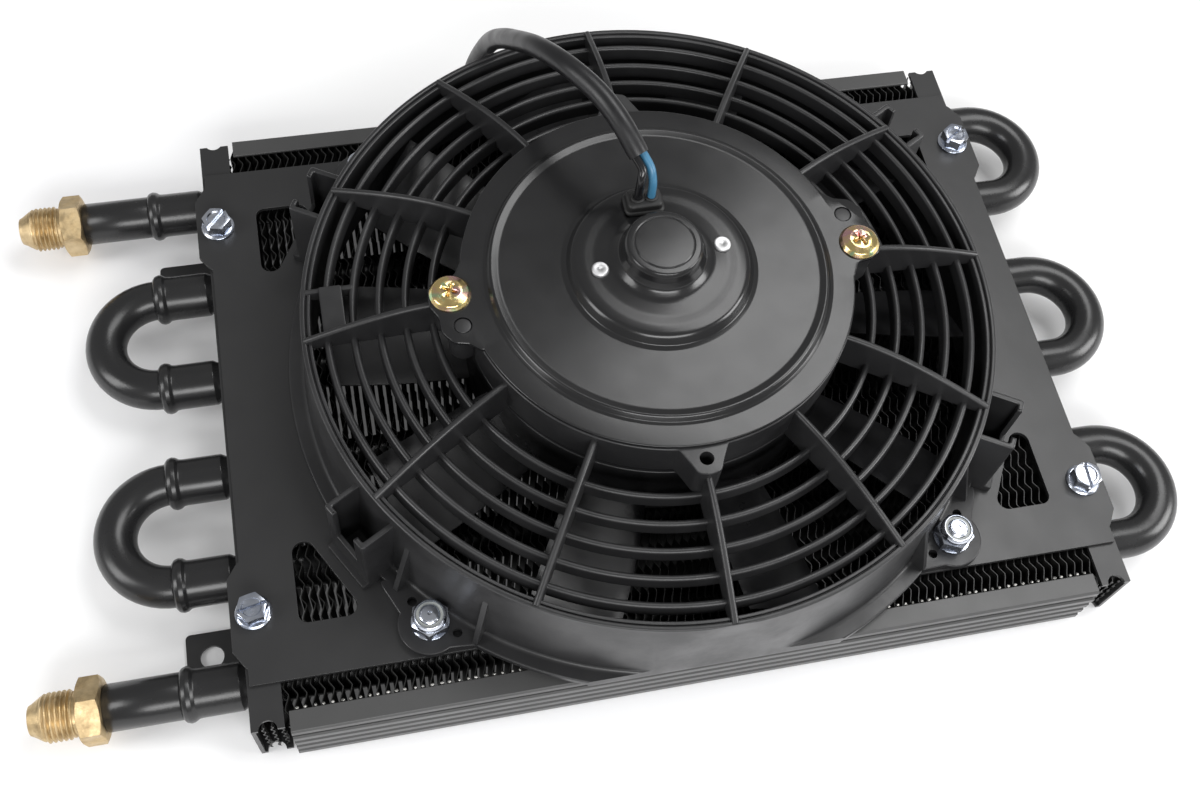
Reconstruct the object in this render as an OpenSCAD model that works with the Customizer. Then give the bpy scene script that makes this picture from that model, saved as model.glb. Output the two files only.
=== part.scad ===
// Hydraulic oil cooler: a six-pass tube-and-fin core with an electric fan on top.
// The base plane is Z = 0, and the Z axis is the fan's axis. Both mounting tabs are at the left.

/* [Core] */
// Distance between neighbouring tubes
tube_pitch = 33.45; // [33:0.05:34]
// Outside diameter of the tubes
tube_d = 12.7; // [12:0.1:13]
// Wall of the tubes
tube_wall = 0.7; // [0.5:0.1:1]
// Distance between neighbouring fins
fin_pitch = 2.54; // [2.5:0.01:2.6]
// Thickness of a fin
fin_t = 0.3; // [0.2:0.05:0.4]
// Height of the fins
fin_h = 21.2; // [20:0.1:22]
// Width of the core over its fins
fin_w = 200; // [196:1:201]

/* [Frame] */
// Length over the two end plates
frame_l = 264.6; // [262:0.2:266]
// Width of the end plates
frame_w = 202; // [200:0.5:203]
// Sheet thickness of the end plates
sheet_t = 1.2; // [1:0.1:1.4]
// Width of the end plate flanges
flange_w = 9.3; // [8:0.1:10]
// Length of the side rails
rail_l = 243; // [236:1:244]
// Width over the two side rails
rail_w = 207; // [205:0.5:208]
// Distance from the fan's axis to the two tab holes, along X
tab_x = 144; // [143:0.5:145]
// Distance between the two tab holes, along Y
tab_y = 132; // [130:1:134]
// Diameter of the tab holes
tab_hole_d = 7; // [6:0.1:8]

/* [Fan plates] */
// Length over the two fan plates
plate_l = 262.7; // [260:0.1:264]
// Width of the fan plates
plate_w = 176.6; // [174:0.1:178]
// Thickness of the fan plates
plate_t = 1.4; // [1.2:0.1:1.6]
// Radius of the air opening between the plates
opening_r = 104.5; // [104.2:0.1:105]

/* [Shroud] */
// Radius of the shroud's top ring
ring_r = 104.6; // [104.2:0.1:105]
// Height of the shroud above the fan plates
shroud_h = 34; // [32:0.5:36]
// Radius of the shroud's base flange
base_r = 111.2; // [110:0.1:112]
// Number of spokes in the grille
spokes = 12; // [8:2:16]
// Distance between neighbouring grille rings
ring_gap = 7.7; // [7:0.1:8]
// Distance from the fan's axis to each shroud stud, along X and Y
stud_xy = 79.4; // [79:0.1:80]

/* [Motor and fan] */
// Radius of the motor's mounting flange
flange_r = 57.7; // [57:0.1:58]
// Radius of the motor can
can_r = 50; // [49:0.5:51]
// Radius of the motor shaft
shaft_r = 3.15; // [3.1:0.01:3.17]
// Radius over the fan blades
blade_r = 98; // [96:0.5:99]
// Number of fan blades
blades = 10; // [8:1:10]
// Turn of the fan when at rest
fan_angle = 5.8; // [0:0.1:36]

/* [Fittings] */
// Diameter over the flare fitting's thread
thread_d = 14.28; // [14:0.01:14.5]
// Width across the fitting's flats
hex_af = 17.5; // [17:0.1:18]
// Radius of the fitting's bore
port_r = 3.8; // [3.5:0.1:4]

/* [Lead] */
// Outside diameter of the lead's sleeve
sleeve_d = 6.4; // [6:0.1:6.4]
// Outside diameter of each wire
wire_d = 2.5; // [2.2:0.1:2.5]

/* [Hidden] */
$fn = 64;

black = [0.07, 0.07, 0.075];
plastic = [0.11, 0.11, 0.12];
zinc = [0.72, 0.75, 0.78];
brass = [0.72, 0.56, 0.3];
steel = [0.6, 0.6, 0.62];

// Heights, from the base plane up
tube_r = tube_d / 2;
bore_r = tube_r - tube_wall;
tube_z = sheet_t + fin_h / 2;
fin_top = sheet_t + fin_h;
plate_z = fin_top + sheet_t;
shroud_z = plate_z + plate_t;
ring_top = shroud_z + shroud_h;
foot_t = 2.8;
foot_top = shroud_z + foot_t;
hub_bottom = 60.3;
motor_z = 73.1;

// Tubes
passes = 6;
fins = 103;
collar_t = 0.4;
gap = 0.03;
hairpin_x = 142.2;
return_x = -151.4;
bend_r = tube_pitch / 2;
socket_start = -133.5;
socket_stop = -138;
socket_mouth = -149.8;
stub_end = -176;

// Frame
end_x = frame_l / 2;
tube_hole_r = tube_r + 0.15;
notch_r = 2.7;
notch_x = end_x - 4.6;
notch_shift = 1.5;
tab_l = 19.1;
tab_w = 15.6;
tab_mid_y = -4;
screw_x = 128.4;
screw_y = 67;
screw_r = 2.4;
stud_r = 2.95;
lip_w = 7;
rail_h = 23.3;

// Grille and shroud
trim_y = 104.4;
first_ring = 66.4;
rings = 5;
spoke_t = 2;
boss_r = 61.2;
boss_hole_r = 2.05;
peg_r = 2.4;
peg_angle = 10.2;
peg_reach = 60.1;
bracket_angles = [30, 150, 210, 330];

// Motor and fan
cover_top = 87.8;
bush_r = 7;
can_bottom = 38;
magnet_in = 42.5;
core_r = 41;
slot_n = 12;
comm_r = 10;
brush_l = 8;
card_z = 72.9;
rivet_r = 1.5;
rivet_pos = [18.4, 1.7];
grommet_pos = [-1.6, 18.5];
grommet_size = [11.6, 7.6];
grommet_z = 76.5;
grommet_h = 7;
wire_gap = 4;
hub_r = 57;
hub_z = 29;
hub_wall_top = 56;
blade_low = 33.8;
blade_high = 48.8;
blade_t = 1.5;

// Route of the lead's sleeve, from its mouth above the motor, over the shroud's
// rear edge, down behind the core and along the surface it stands on.
sleeve_route = [
    [-3, 25, 96], [-7, 33, 101], [-12, 42, 104], [-19, 53, 104], [-25, 66, 98],
    [-29, 79, 87], [-31, 90, 76], [-33, 99, 65], [-35, 106, 52], [-37, 110, 40],
    [-38, 111, 29], [-36, 111, 19], [-30, 110, 11], [-22, 109, 5.5], [-12, 109, 3.3],
    [5, 109, 3.3], [20, 109, 3.3], [35, 109, 3.3], [50, 109, 3.3], [65, 109, 3.3],
    [80, 109, 3.3]
];
blue_route = [
    [0.4, 18.5, 80.5], [0.4, 18.5, 85.5], [0.5, 19.2, 89.5], [0.3, 20.6, 92.2],
    [-0.2, 22.4, 94], [-1.8, 25.6, 96]
];
black_route = [
    [-3.6, 18.5, 80.5], [-3.6, 18.5, 85.5], [-3.4, 18.7, 89.5], [-3, 19.6, 92.2],
    [-2.6, 21.2, 94], [-4.2, 24.4, 96]
];
connector_l = 27;
connector_w = 9;
connector_h = 8.4;

function tube_y(k) = (passes - 1) / 2 * tube_pitch - k * tube_pitch;
function unit(v) = v / norm(v);
function heading(p, i) = unit(p[min(i + 1, len(p) - 1)] - p[max(i - 1, 0)]);
function sideways(d) = norm(cross(d, [0, 0, 1])) > 0.3 ? unit(cross(d, [0, 0, 1])) : [1, 0, 0];

// A point of the ring round route point i, at angle a
function ring_point(p, i, r, a) =
    let (d = heading(p, i), s0 = sideways(d), u = unit(cross(s0, d)), s = cross(d, u))
    p[i] + r * (cos(a) * s + sin(a) * u);

// Tube of radius r along a route, closed at both ends
module swept_tube(route, r, sides) {
    n = len(route);
    points = [
        for (i = [0 : n - 1])
            for (k = [0 : sides - 1]) ring_point(route, i, r, 360 * k / sides)
    ];
    walls = [
        for (i = [0 : n - 2])
            for (k = [0 : sides - 1])
                let (a = i * sides + k, b = i * sides + (k + 1) % sides)
                [a, b, b + sides, a + sides]
    ];
    start_cap = [for (k = [sides - 1 : -1 : 0]) k];
    end_cap = [for (k = [0 : sides - 1]) (n - 1) * sides + k];
    polyhedron(points, concat(walls, [start_cap, end_cap]), convexity = 6);
}

// Lays children, drawn along Z, along +X at a place
module along_x(x, y, z) {
    translate([x, y, z]) rotate([0, 90, 0]) children();
}

module pipe(r_out, r_in, l) {
    difference() {
        cylinder(r = r_out, h = l);
        translate([0, 0, -1]) cylinder(r = r_in, h = l + 2);
    }
}

// Hexagonal prism with bevelled top corners
module hex_body(af, h) {
    corner_r = af / sqrt(3);
    bevel = corner_r - af / 2;
    intersection() {
        cylinder(r = corner_r, h = h, $fn = 6);
        union() {
            cylinder(r = corner_r, h = h - bevel * 0.6);
            translate([0, 0, h - bevel * 0.6])
                cylinder(r1 = corner_r, r2 = af / 2, h = bevel * 0.6);
        }
    }
}

module core_fin_pack() {
    first_x = -(fins - 1) / 2 * fin_pitch - fin_t / 2;
    pack_l = (fins - 1) * fin_pitch + fin_t;
    color([0.1, 0.1, 0.1]) difference() {
        union() {
            for (i = [0 : fins - 1])
                translate([first_x + i * fin_pitch, -fin_w / 2, sheet_t])
                    cube([fin_t, fin_w, fin_h]);
            for (k = [0 : passes - 1])
                along_x(first_x, tube_y(k), tube_z) cylinder(r = tube_r + collar_t, h = pack_l);
        }
        for (k = [0 : passes - 1])
            along_x(first_x - 1, tube_y(k), tube_z) cylinder(r = tube_r + gap, h = pack_l + 2);
        for (x = [-screw_x, screw_x], y = [-screw_y, screw_y])
            translate([x, y, tube_z]) cylinder(r = screw_r + 0.5, h = fin_h);
    }
}

// Straight pass of a hairpin, from its bend at 0 to the belled mouth along +Z
module belled_leg() {
    bell = hairpin_x - socket_start;
    stop = hairpin_x - socket_stop;
    mouth = hairpin_x - socket_mouth;
    bell_r = tube_r + 0.8;
    rim_r = 8;
    rotate_extrude() polygon([
        [bore_r, 0], [tube_r, 0], [tube_r, bell], [bell_r, bell + 1.2], [bell_r, mouth - 2.6],
        [bell_r + 0.3, mouth - 1.2], [rim_r, mouth], [tube_r + 0.5, mouth + 1.1],
        [tube_r + gap, mouth + 1.9], [tube_r + gap, stop], [bore_r, stop]
    ]);
}

// Half ring of tube in the plane Z = tube_z, bulging towards +X
module bend(x, y) {
    translate([x, y, tube_z]) rotate([0, 0, -90]) rotate_extrude(angle = 180)
        translate([bend_r, 0]) difference() {
            circle(r = tube_r);
            circle(r = bore_r);
        }
}

// One hairpin: two passes and the bend that joins them at the right-hand end
module hairpin(first_pass) {
    color(black) {
        for (k = [first_pass, first_pass + 1])
            translate([hairpin_x, tube_y(k), tube_z]) rotate([0, -90, 0]) belled_leg();
        bend(hairpin_x, (tube_y(first_pass) + tube_y(first_pass + 1)) / 2);
    }
}

module hairpin_tube_rear() { hairpin(0); }
module hairpin_tube_middle() { hairpin(2); }
module hairpin_tube_front() { hairpin(4); }

// Separate U-bend between two hairpins at the left-hand end
module return_bend(first_pass) {
    inner_x = socket_stop - 0.2;
    color(black) {
        for (k = [first_pass, first_pass + 1])
            along_x(return_x, tube_y(k), tube_z) pipe(tube_r, bore_r, inner_x - return_x);
        translate([return_x, 0, 0]) mirror([1, 0, 0])
            bend(0, (tube_y(first_pass) + tube_y(first_pass + 1)) / 2);
    }
}

module return_bend_rear() { return_bend(1); }
module return_bend_front() { return_bend(3); }

module stub_tube(pass) {
    color(black)
        along_x(stub_end, tube_y(pass), tube_z) pipe(tube_r, bore_r, socket_stop - 0.2 - stub_end);
}

module inlet_stub_tube() { stub_tube(0); }
module outlet_stub_tube() { stub_tube(passes - 1); }

// Male flare fitting with its nose towards -X; its hexagon starts at x = -172.9
module flare_fitting(pass) {
    hex_l = 6.8;
    neck_l = 1.5;
    thread_l = 8.7;
    nose_l = 3.6;
    socket_l = 3.3;
    thread_r = thread_d / 2;
    nose_z = hex_l + neck_l + thread_l;
    hex_x = -172.9;
    color(brass)
        translate([hex_x, tube_y(pass), tube_z]) rotate([0, -90, 0]) difference() {
            union() {
                hex_body(hex_af, hex_l);
                cylinder(r = thread_r - 0.8, h = nose_z);
                translate([0, 0, hex_l + neck_l]) cylinder(r = thread_r, h = thread_l);
                translate([0, 0, nose_z]) cylinder(r1 = 6.6, r2 = 4.6, h = nose_l - 1);
                translate([0, 0, nose_z + nose_l - 1]) cylinder(r1 = 4.6, r2 = 4.2, h = 1);
            }
            translate([0, 0, -1]) cylinder(r = port_r, h = nose_z + nose_l + 2);
            translate([0, 0, -1]) cylinder(r = tube_r + gap, h = socket_l + 1);
        }
}

module inlet_flare_fitting() { flare_fitting(0); }
module outlet_flare_fitting() { flare_fitting(passes - 1); }

// One mounting tab on the bottom flange, drawn for the right-hand end
module tab(y) {
    corner = 1.5;
    difference() {
        hull() {
            translate([end_x - flange_w, y - tab_w / 2, 0]) cube([1, tab_w, sheet_t]);
            for (s = [-1, 1])
                translate([end_x + tab_l - corner, y + s * (tab_w / 2 - corner), 0])
                    cylinder(r = corner, h = sheet_t, $fn = 32);
        }
        translate([tab_x, y, -1]) cylinder(r = tab_hole_d / 2, h = sheet_t + 2);
    }
}

// Channel that closes one end of the core, drawn for the right-hand end
module end_plate(tabs) {
    difference() {
        union() {
            translate([end_x - sheet_t, -frame_w / 2, 0]) cube([sheet_t, frame_w, plate_z]);
            for (z = [0, fin_top])
                translate([end_x - flange_w, -frame_w / 2, z]) cube([flange_w, frame_w, sheet_t]);
            if (tabs) for (s = [-1, 1]) tab(tab_mid_y + s * tab_y / 2);
        }
        for (k = [0 : passes - 1])
            along_x(end_x - 5, tube_y(k), tube_z) cylinder(r = tube_hole_r, h = 10);
        for (y = [-frame_w / 2, frame_w / 2 + notch_shift])
            translate([notch_x, y, -1]) cylinder(r = notch_r, h = plate_z + 2);
        for (y = [-screw_y, screw_y])
            translate([screw_x, y, tube_z]) cylinder(r = screw_r + gap, h = fin_h);
    }
}

module end_plate_left() {
    color(black) mirror([1, 0, 0]) end_plate(true);
}

module end_plate_right() {
    color(black) end_plate(false);
}

// Side rail drawn for the rear: a channel with ridges along its outer face
module side_rail() {
    back = rail_w / 2;
    front = back - lip_w;
    web_t = 1.6;
    ridge = 0.5;
    ridge_step = 4.6;
    translate([-rail_l / 2, 0, 0]) rotate([90, 0, 90]) linear_extrude(rail_l) union() {
        polygon([
            [front, 0], [back - ridge, 0], [back - ridge, rail_h - 0.8],
            [back - ridge - 0.5, rail_h], [front, rail_h], [front, fin_top],
            [back - ridge - web_t, fin_top], [back - ridge - web_t, sheet_t], [front, sheet_t]
        ]);
        for (i = [0 : 3]) translate([back - 1, 2 + i * ridge_step]) polygon([
            [0, 0], [0.6, 0], [1, 0.7], [1, 2.5], [0.6, 3.2], [0, 3.2]
        ]);
    }
}

module side_rail_front() {
    color(black) mirror([0, 1, 0]) side_rail();
}

module side_rail_rear() {
    color(black) side_rail();
}

// Rounded corner window in a fan plate, for the quarter where X and Y are positive
module corner_window() {
    corners = [[112.7, 50.8, 3.3], [102.4, 69.2, 3.2], [113.2, 69.6, 2.8]];
    hull() {
        for (p = corners)
            translate([p[0], p[1], plate_z - 1]) cylinder(r = p[2], h = plate_t + 2, $fn = 32);
    }
}

// Plate that carries half of the fan, drawn for the right-hand side
module fan_plate() {
    edge_x = plate_l / 2;
    ear_x = 135.2;
    half_w = plate_w / 2;
    difference() {
        translate([0, 0, plate_z]) linear_extrude(plate_t) polygon([
            [50, -half_w], [edge_x, -half_w], [edge_x, -83.4], [132.3, -82.4], [ear_x, -77.7],
            [ear_x, -56], [132.3, -51.6], [edge_x, -50.6], [edge_x, 50.6], [132.3, 51.6],
            [ear_x, 56], [ear_x, 77.7], [132.3, 82.4], [edge_x, 83.4], [edge_x, half_w],
            [50, half_w]
        ]);
        translate([0, 0, plate_z - 1]) cylinder(r = opening_r, h = plate_t + 2, $fn = 128);
        for (side = [0, 1]) mirror([0, side, 0]) {
            corner_window();
            translate([screw_x, screw_y, plate_z - 1]) cylinder(r = screw_r + gap, h = plate_t + 2);
            translate([stud_xy, stud_xy, plate_z - 1]) cylinder(r = stud_r + gap, h = plate_t + 2);
        }
    }
}

module fan_plate_left() {
    color(black) mirror([1, 0, 0]) fan_plate();
}

module fan_plate_right() {
    color(black) fan_plate();
}

// Slotted hexagon washer-head screws that hold the fan plates to the end plates
module plate_screws() {
    head_h = 5.2;
    washer_r = 5.3;
    color(zinc) for (x = [-screw_x, screw_x], y = [-screw_y, screw_y])
        translate([x, y, shroud_z]) difference() {
            union() {
                cylinder(r = washer_r, h = 0.9);
                translate([0, 0, 0.9]) hex_body(8, head_h - 0.9);
                translate([0, 0, -9]) cylinder(r = screw_r, h = 9.5);
            }
            translate([-5, -0.6, head_h - 1.3]) cube([10, 1.2, 2]);
        }
}

// Places children at the four shroud studs
module at_studs(z) {
    for (x = [-stud_xy, stud_xy], y = [-stud_xy, stud_xy]) translate([x, y, z]) children();
}

module shroud_studs() {
    head_t = 0.9;
    stud_l = 12.8;
    color(zinc) at_studs(plate_z) {
        translate([0, 0, -head_t]) cylinder(r = 4.6, h = head_t);
        cylinder(r = stud_r, h = stud_l - 0.6);
        translate([0, 0, stud_l - 0.6]) cylinder(r1 = stud_r, r2 = stud_r - 0.6, h = 0.6);
    }
}

module shroud_lock_nuts() {
    hex_h = 5;
    collar_h = 2.7;
    color(zinc) at_studs(foot_top) difference() {
        union() {
            hex_body(10, hex_h);
            cylinder(r = 4.9, h = hex_h + collar_h - 0.5);
            translate([0, 0, hex_h + collar_h - 0.5]) cylinder(r1 = 4.9, r2 = 4.4, h = 0.5);
        }
        translate([0, 0, -1]) cylinder(r = stud_r + gap, h = 12);
        translate([0, 0, hex_h]) cylinder(r = 4, h = 4);
    }
}

// Locking rings in the nuts' collars
module nut_inserts() {
    color([0.75, 0.75, 0.72]) at_studs(foot_top + 5) pipe(4 - gap, stud_r + gap, 2);
}

// Cross-section of the shroud's wall: base flange, flared wall and stepped top ring
module shroud_wall() {
    wall_r = 106.3;
    in_r = 101.6;
    rotate_extrude($fn = 180) polygon([
        [103.7, shroud_z], [base_r, shroud_z], [base_r, foot_top], [wall_r, foot_top],
        [ring_r, ring_top - 0.7], [ring_r - 0.4, ring_top], [ring_r - 1.6, ring_top],
        [ring_r - 2, ring_top - 1.1], [in_r, ring_top - 1.1], [in_r, ring_top - 3]
    ]);
}

// Concentric grille rings with rounded tops, higher towards the hub
module grille_rings() {
    rib_r = 1;
    rib_h = 4;
    for (i = [0 : rings - 1]) {
        r = first_ring + i * ring_gap;
        top = ring_top - 0.2 + 0.18 * (rings - 1 - i) * (rings - 1 - i);
        rotate_extrude($fn = 128) union() {
            translate([r, top - rib_r]) circle(r = rib_r, $fn = 32);
            translate([r - rib_r, top - rib_r - rib_h]) square([2 * rib_r, rib_h]);
        }
    }
}

// Radial rib whose top rises from the ring to the hub
module spoke() {
    rise = 11.8;
    low = ring_top - 3.3;
    start_r = 56.6;
    end_r = ring_r - 0.8;
    steps = 5;
    rotate([90, 0, 0]) translate([0, 0, -spoke_t / 2]) linear_extrude(spoke_t) polygon(concat(
        [[start_r, low + 2.4], [end_r, low]],
        [for (i = [0 : steps]) let (t = i / steps)
            [end_r - t * (end_r - start_r - 2), ring_top + 0.6 + rise * sin(90 * t)]],
        [[start_r, ring_top + rise + 0.4]]
    ));
}

// Screw boss on the hub ring, drawn for the one towards +X
module hub_boss() {
    boss_in = 56.6;
    translate([0, 0, hub_bottom]) linear_extrude(motor_z - hub_bottom) union() {
        translate([boss_r, 0]) circle(r = 4.8);
        polygon([[boss_in, -7.6], [boss_r + 2.6, -4], [boss_r + 2.6, 4], [boss_in, 7.6]]);
    }
}

// Peg that centres the motor flange, at its own place on the hub
module hub_peg(turn) {
    rotate([0, 0, peg_angle + turn]) translate([peg_reach, 0, hub_bottom + 2]) {
        cylinder(r = 4, h = motor_z - hub_bottom - 2);
        cylinder(r = peg_r, h = motor_z - hub_bottom - 0.7);
    }
}

// Corner foot, drawn for the quarter where X and Y are positive
module shroud_foot() {
    foot_r = 9.4;
    translate([0, 0, shroud_z]) linear_extrude(foot_t) union() {
        translate([stud_xy, stud_xy]) circle(r = foot_r);
        polygon([
            [76, 72], [93.4, 62.4], [88.8, 78.4], [78.4, 88.8], [56, 88.8], [60, 86]
        ]);
    }
    for (turn = [-7.3, 7.3]) rotate([0, 0, 45 + turn]) rotate([90, 0, 0])
        translate([0, 0, -0.8]) linear_extrude(1.6) polygon([
            [103.4, foot_top - 1], [111.2, foot_top - 1], [111.2, foot_top + 0.6],
            [105, foot_top + 22], [103.4, foot_top + 22]
        ]);
}

// Holes through one foot: the stud's and two small ones beside it
module foot_holes() {
    small_r = 1.4;
    small_reach = 110.5;
    translate([stud_xy, stud_xy, shroud_z - 1]) cylinder(r = stud_r + 0.15, h = foot_t + 2);
    for (turn = [-4.2, 4.2]) rotate([0, 0, 45 + turn])
        translate([small_reach, 0, shroud_z - 1]) cylinder(r = small_r, h = foot_t + 2);
}

// Clip bracket on the shroud's wall: two ribs with inward lips over a low outer wall
module clip_bracket() {
    reach = 115.2;
    half_w = 8.6;
    rib_t = 1.7;
    lip = 4;
    top = ring_top - 4.2;
    start_r = 103.4;
    translate([start_r, -half_w, shroud_z]) cube([reach + 1.8 - start_r, 2 * half_w, foot_t]);
    for (side = [0, 1]) mirror([0, side, 0]) {
        translate([start_r, half_w - rib_t, shroud_z])
            cube([reach - start_r, rib_t, top - shroud_z]);
        translate([reach - rib_t, half_w - lip, shroud_z]) cube([rib_t, lip, top - shroud_z]);
    }
    translate([reach - rib_t, -half_w, shroud_z]) cube([rib_t, 2 * half_w, 14]);
}

// Small guide for the lead, between the left-hand spoke and a short bar beside it
module lead_guide() {
    translate([-98, 0, ring_top - 1]) cube([6.8, 17, 2.2]);
    translate([-102.4, 15.6, ring_top - 4]) cube([14.6, 1.8, 4]);
}

// Lip under a flat side of the shroud that closes the gap above the side rail
module shroud_skirt() {
    low = rail_h + 0.2;
    inner = trim_y - 2.4;
    half_l = 38;
    translate([-half_l, inner, low]) cube([2 * half_l, trim_y - inner, shroud_z + 1 - low]);
}

module fan_shroud() {
    color(plastic) difference() {
        union() {
            intersection() {
                shroud_wall();
                translate([-120, -trim_y, 0]) cube([240, 2 * trim_y, 80]);
            }
            grille_rings();
            for (i = [0 : spokes - 1]) rotate([0, 0, i * 360 / spokes]) spoke();
            translate([0, 0, hub_bottom]) pipe(flange_r + 0.3, 55.6, motor_z - hub_bottom);
            for (turn = [0 : 90 : 270]) rotate([0, 0, turn]) hub_boss();
            for (turn = [0, 180]) hub_peg(turn);
            for (x = [0, 1], y = [0, 1]) mirror([x, 0, 0]) mirror([0, y, 0]) shroud_foot();
            for (turn = bracket_angles) rotate([0, 0, turn]) clip_bracket();
            for (side = [0, 1]) mirror([0, side, 0]) shroud_skirt();
            lead_guide();
        }
        for (turn = [0 : 90 : 270]) rotate([0, 0, turn]) translate([boss_r, 0, hub_bottom - 1])
            cylinder(r = boss_hole_r, h = 20);
        for (x = [0, 1], y = [0, 1]) mirror([x, 0, 0]) mirror([0, y, 0]) foot_holes();
    }
}

// Ear of the motor flange round one screw and one peg, drawn for the +X side
module motor_ear() {
    peg_place = [peg_reach * cos(peg_angle), peg_reach * sin(peg_angle)];
    translate([0, 0, motor_z]) linear_extrude(plate_t) union() {
        translate([boss_r, 0]) circle(r = 6);
        translate(peg_place) circle(r = 5.6);
        polygon([
            [50, -12], [56.4, -11.4], [boss_r + 2.4, -5.5], [boss_r + 6, 0],
            [peg_place[0] + 5.4, peg_place[1]], [peg_place[0] + 2, peg_place[1] + 5.2],
            [55, 18.6], [50, 18]
        ]);
    }
}

// Pressed cover of the flat motor, with its flange, raised middle and bearing boss
module motor_cover() {
    color(black) difference() {
        union() {
            rotate_extrude($fn = 128) polygon([
                [0, 86.4], [bush_r + gap, 86.4], [bush_r + gap, 79.2], [12.5, 78.4], [24.6, 78.4],
                [25.8, 74.8], [47, 74.8], [49, motor_z], [flange_r, motor_z],
                [flange_r, motor_z + plate_t], [50.6, motor_z + plate_t], [49.6, 75.9],
                [48.6, 76.6], [47.6, 76.2], [27.4, 76.2], [26.4, 79], [25.4, 79.8], [16.4, 79.8],
                [14, 80.6], [12.2, 82.6], [11.3, 85.4], [11.3, cover_top - 0.6],
                [10.7, cover_top], [0, cover_top]
            ]);
            for (turn = [0, 180]) rotate([0, 0, turn]) motor_ear();
        }
        for (turn = [0, 180]) rotate([0, 0, turn]) {
            translate([boss_r, 0, motor_z - 1]) cylinder(r = boss_hole_r + 0.2, h = 5);
            rotate([0, 0, peg_angle]) translate([peg_reach, 0, motor_z - 1])
                cylinder(r = peg_r + 0.2, h = 5);
            translate([rivet_pos[0], rivet_pos[1], 70]) cylinder(r = rivet_r + gap, h = 20);
        }
        translate([grommet_pos[0] - grommet_size[0] / 2, grommet_pos[1] - grommet_size[1] / 2, 70])
            cube([grommet_size[0], grommet_size[1], 20]);
    }
}

module motor_can() {
    wall = 1.6;
    seat_r = 9;
    color(steel) difference() {
        union() {
            translate([0, 0, can_bottom]) cylinder(r = can_r, h = motor_z - can_bottom);
            translate([0, 0, can_bottom - 2]) cylinder(r = seat_r, h = 3);
        }
        translate([0, 0, can_bottom + wall]) difference() {
            cylinder(r = can_r - wall, h = 60);
            cylinder(r = seat_r, h = 4.4);
        }
        translate([0, 0, can_bottom - 3]) cylinder(r = bush_r + gap, h = 12);
    }
}

// Four curved ferrite magnets inside the can
module motor_magnets() {
    span = 70;
    color([0.25, 0.25, 0.27]) for (turn = [10 : 90 : 280])
        rotate([0, 0, turn]) rotate_extrude(angle = span)
            translate([magnet_in, 43]) square([can_r - 1.65 - magnet_in, 26]);
}

module bush(z, h) {
    color([0.72, 0.5, 0.3]) translate([0, 0, z]) pipe(bush_r, shaft_r + 0.05, h);
}

module upper_bush() { bush(79.4, 6); }
module lower_bush() { bush(can_bottom - 1.8, 7.6); }

// Insulating card that carries the brush gear under the cover
module brush_card() {
    color([0.45, 0.3, 0.16]) difference() {
        translate([0, 0, card_z]) pipe(46, comm_r + 2, 1.5);
        for (turn = [0, 180]) rotate([0, 0, turn])
            translate([rivet_pos[0], rivet_pos[1], 70]) cylinder(r = rivet_r + gap, h = 20);
        translate([grommet_pos[0] - 6, grommet_pos[1] - 3, 70]) cube([12, 6, 20]);
    }
}

// Places children at the two brushes, which stand across the rivets
module at_brushes() {
    for (turn = [45, 225]) rotate([0, 0, turn]) translate([0, 0, card_z + 1.5]) children();
}

// Channel round each brush and its spring, open towards the commutator
module brush_holders() {
    color(brass) at_brushes() translate([13, -2.8, 0]) difference() {
        cube([11, 5.6, 3.8]);
        translate([-1, 0.5, 0.4]) cube([11.5, 4.6, 2.9]);
    }
}

module carbon_brushes() {
    color([0.15, 0.15, 0.15]) at_brushes()
        translate([comm_r + 0.15, -2.1, 0.4]) cube([brush_l, 4.2, 2.7]);
}

module brush_springs() {
    turns = 4;
    steps = 10;
    coil_r = 0.9;
    wire_r = 0.2;
    start_x = comm_r + 0.15 + brush_l + wire_r;
    end_x = 23.5 - wire_r;
    coil = [
        for (i = [0 : turns * steps]) let (a = 360 * i / steps, t = i / (turns * steps))
            [start_x + (end_x - start_x) * t, coil_r * cos(a), 1.8 + coil_r * sin(a)]
    ];
    color(steel) at_brushes() swept_tube(coil, wire_r, 6);
}

module motor_rivets() {
    color([0.8, 0.8, 0.8]) for (turn = [0, 180]) rotate([0, 0, turn])
        translate([rivet_pos[0], rivet_pos[1], 0]) {
            translate([0, 0, card_z - 0.8]) cylinder(r = rivet_r, h = 79.8 - card_z + 1);
            translate([0, 0, card_z - 0.8]) cylinder(r = 2.2, h = 0.8);
            translate([0, 0, 79.8]) cylinder(r1 = 2.3, r2 = 1.7, h = 0.9);
        }
}

// Screws with low round heads and a cross recess that hold the motor on the shroud
module motor_screws() {
    head_h = 2.6;
    head_r = 5.6;
    sphere_r = (head_r * head_r + head_h * head_h) / (2 * head_h);
    color([0.8, 0.68, 0.36]) for (turn = [0, 180]) rotate([0, 0, turn])
        translate([boss_r, 0, motor_z + plate_t]) difference() {
            union() {
                intersection() {
                    cylinder(r = head_r, h = head_h);
                    translate([0, 0, head_h - sphere_r]) sphere(r = sphere_r);
                }
                translate([0, 0, -12]) cylinder(r = boss_hole_r - gap, h = 12.5);
            }
            for (a = [0, 90]) rotate([0, 0, a])
                translate([-2.6, -0.55, head_h - 1.4]) cube([5.2, 1.1, 2]);
        }
}

// Rubber grommet in the cover, with a hole for each wire
module wire_grommet() {
    color([0.06, 0.06, 0.06]) translate([grommet_pos[0], grommet_pos[1], grommet_z])
        difference() {
            translate([gap - grommet_size[0] / 2, gap - grommet_size[1] / 2, 0])
                cube([grommet_size[0] - 2 * gap, grommet_size[1] - 2 * gap, grommet_h]);
            for (x = [-wire_gap / 2, wire_gap / 2])
                translate([x, 0, grommet_h - 3]) cylinder(r = wire_d / 2 + 0.1, h = 4);
        }
}

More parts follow.
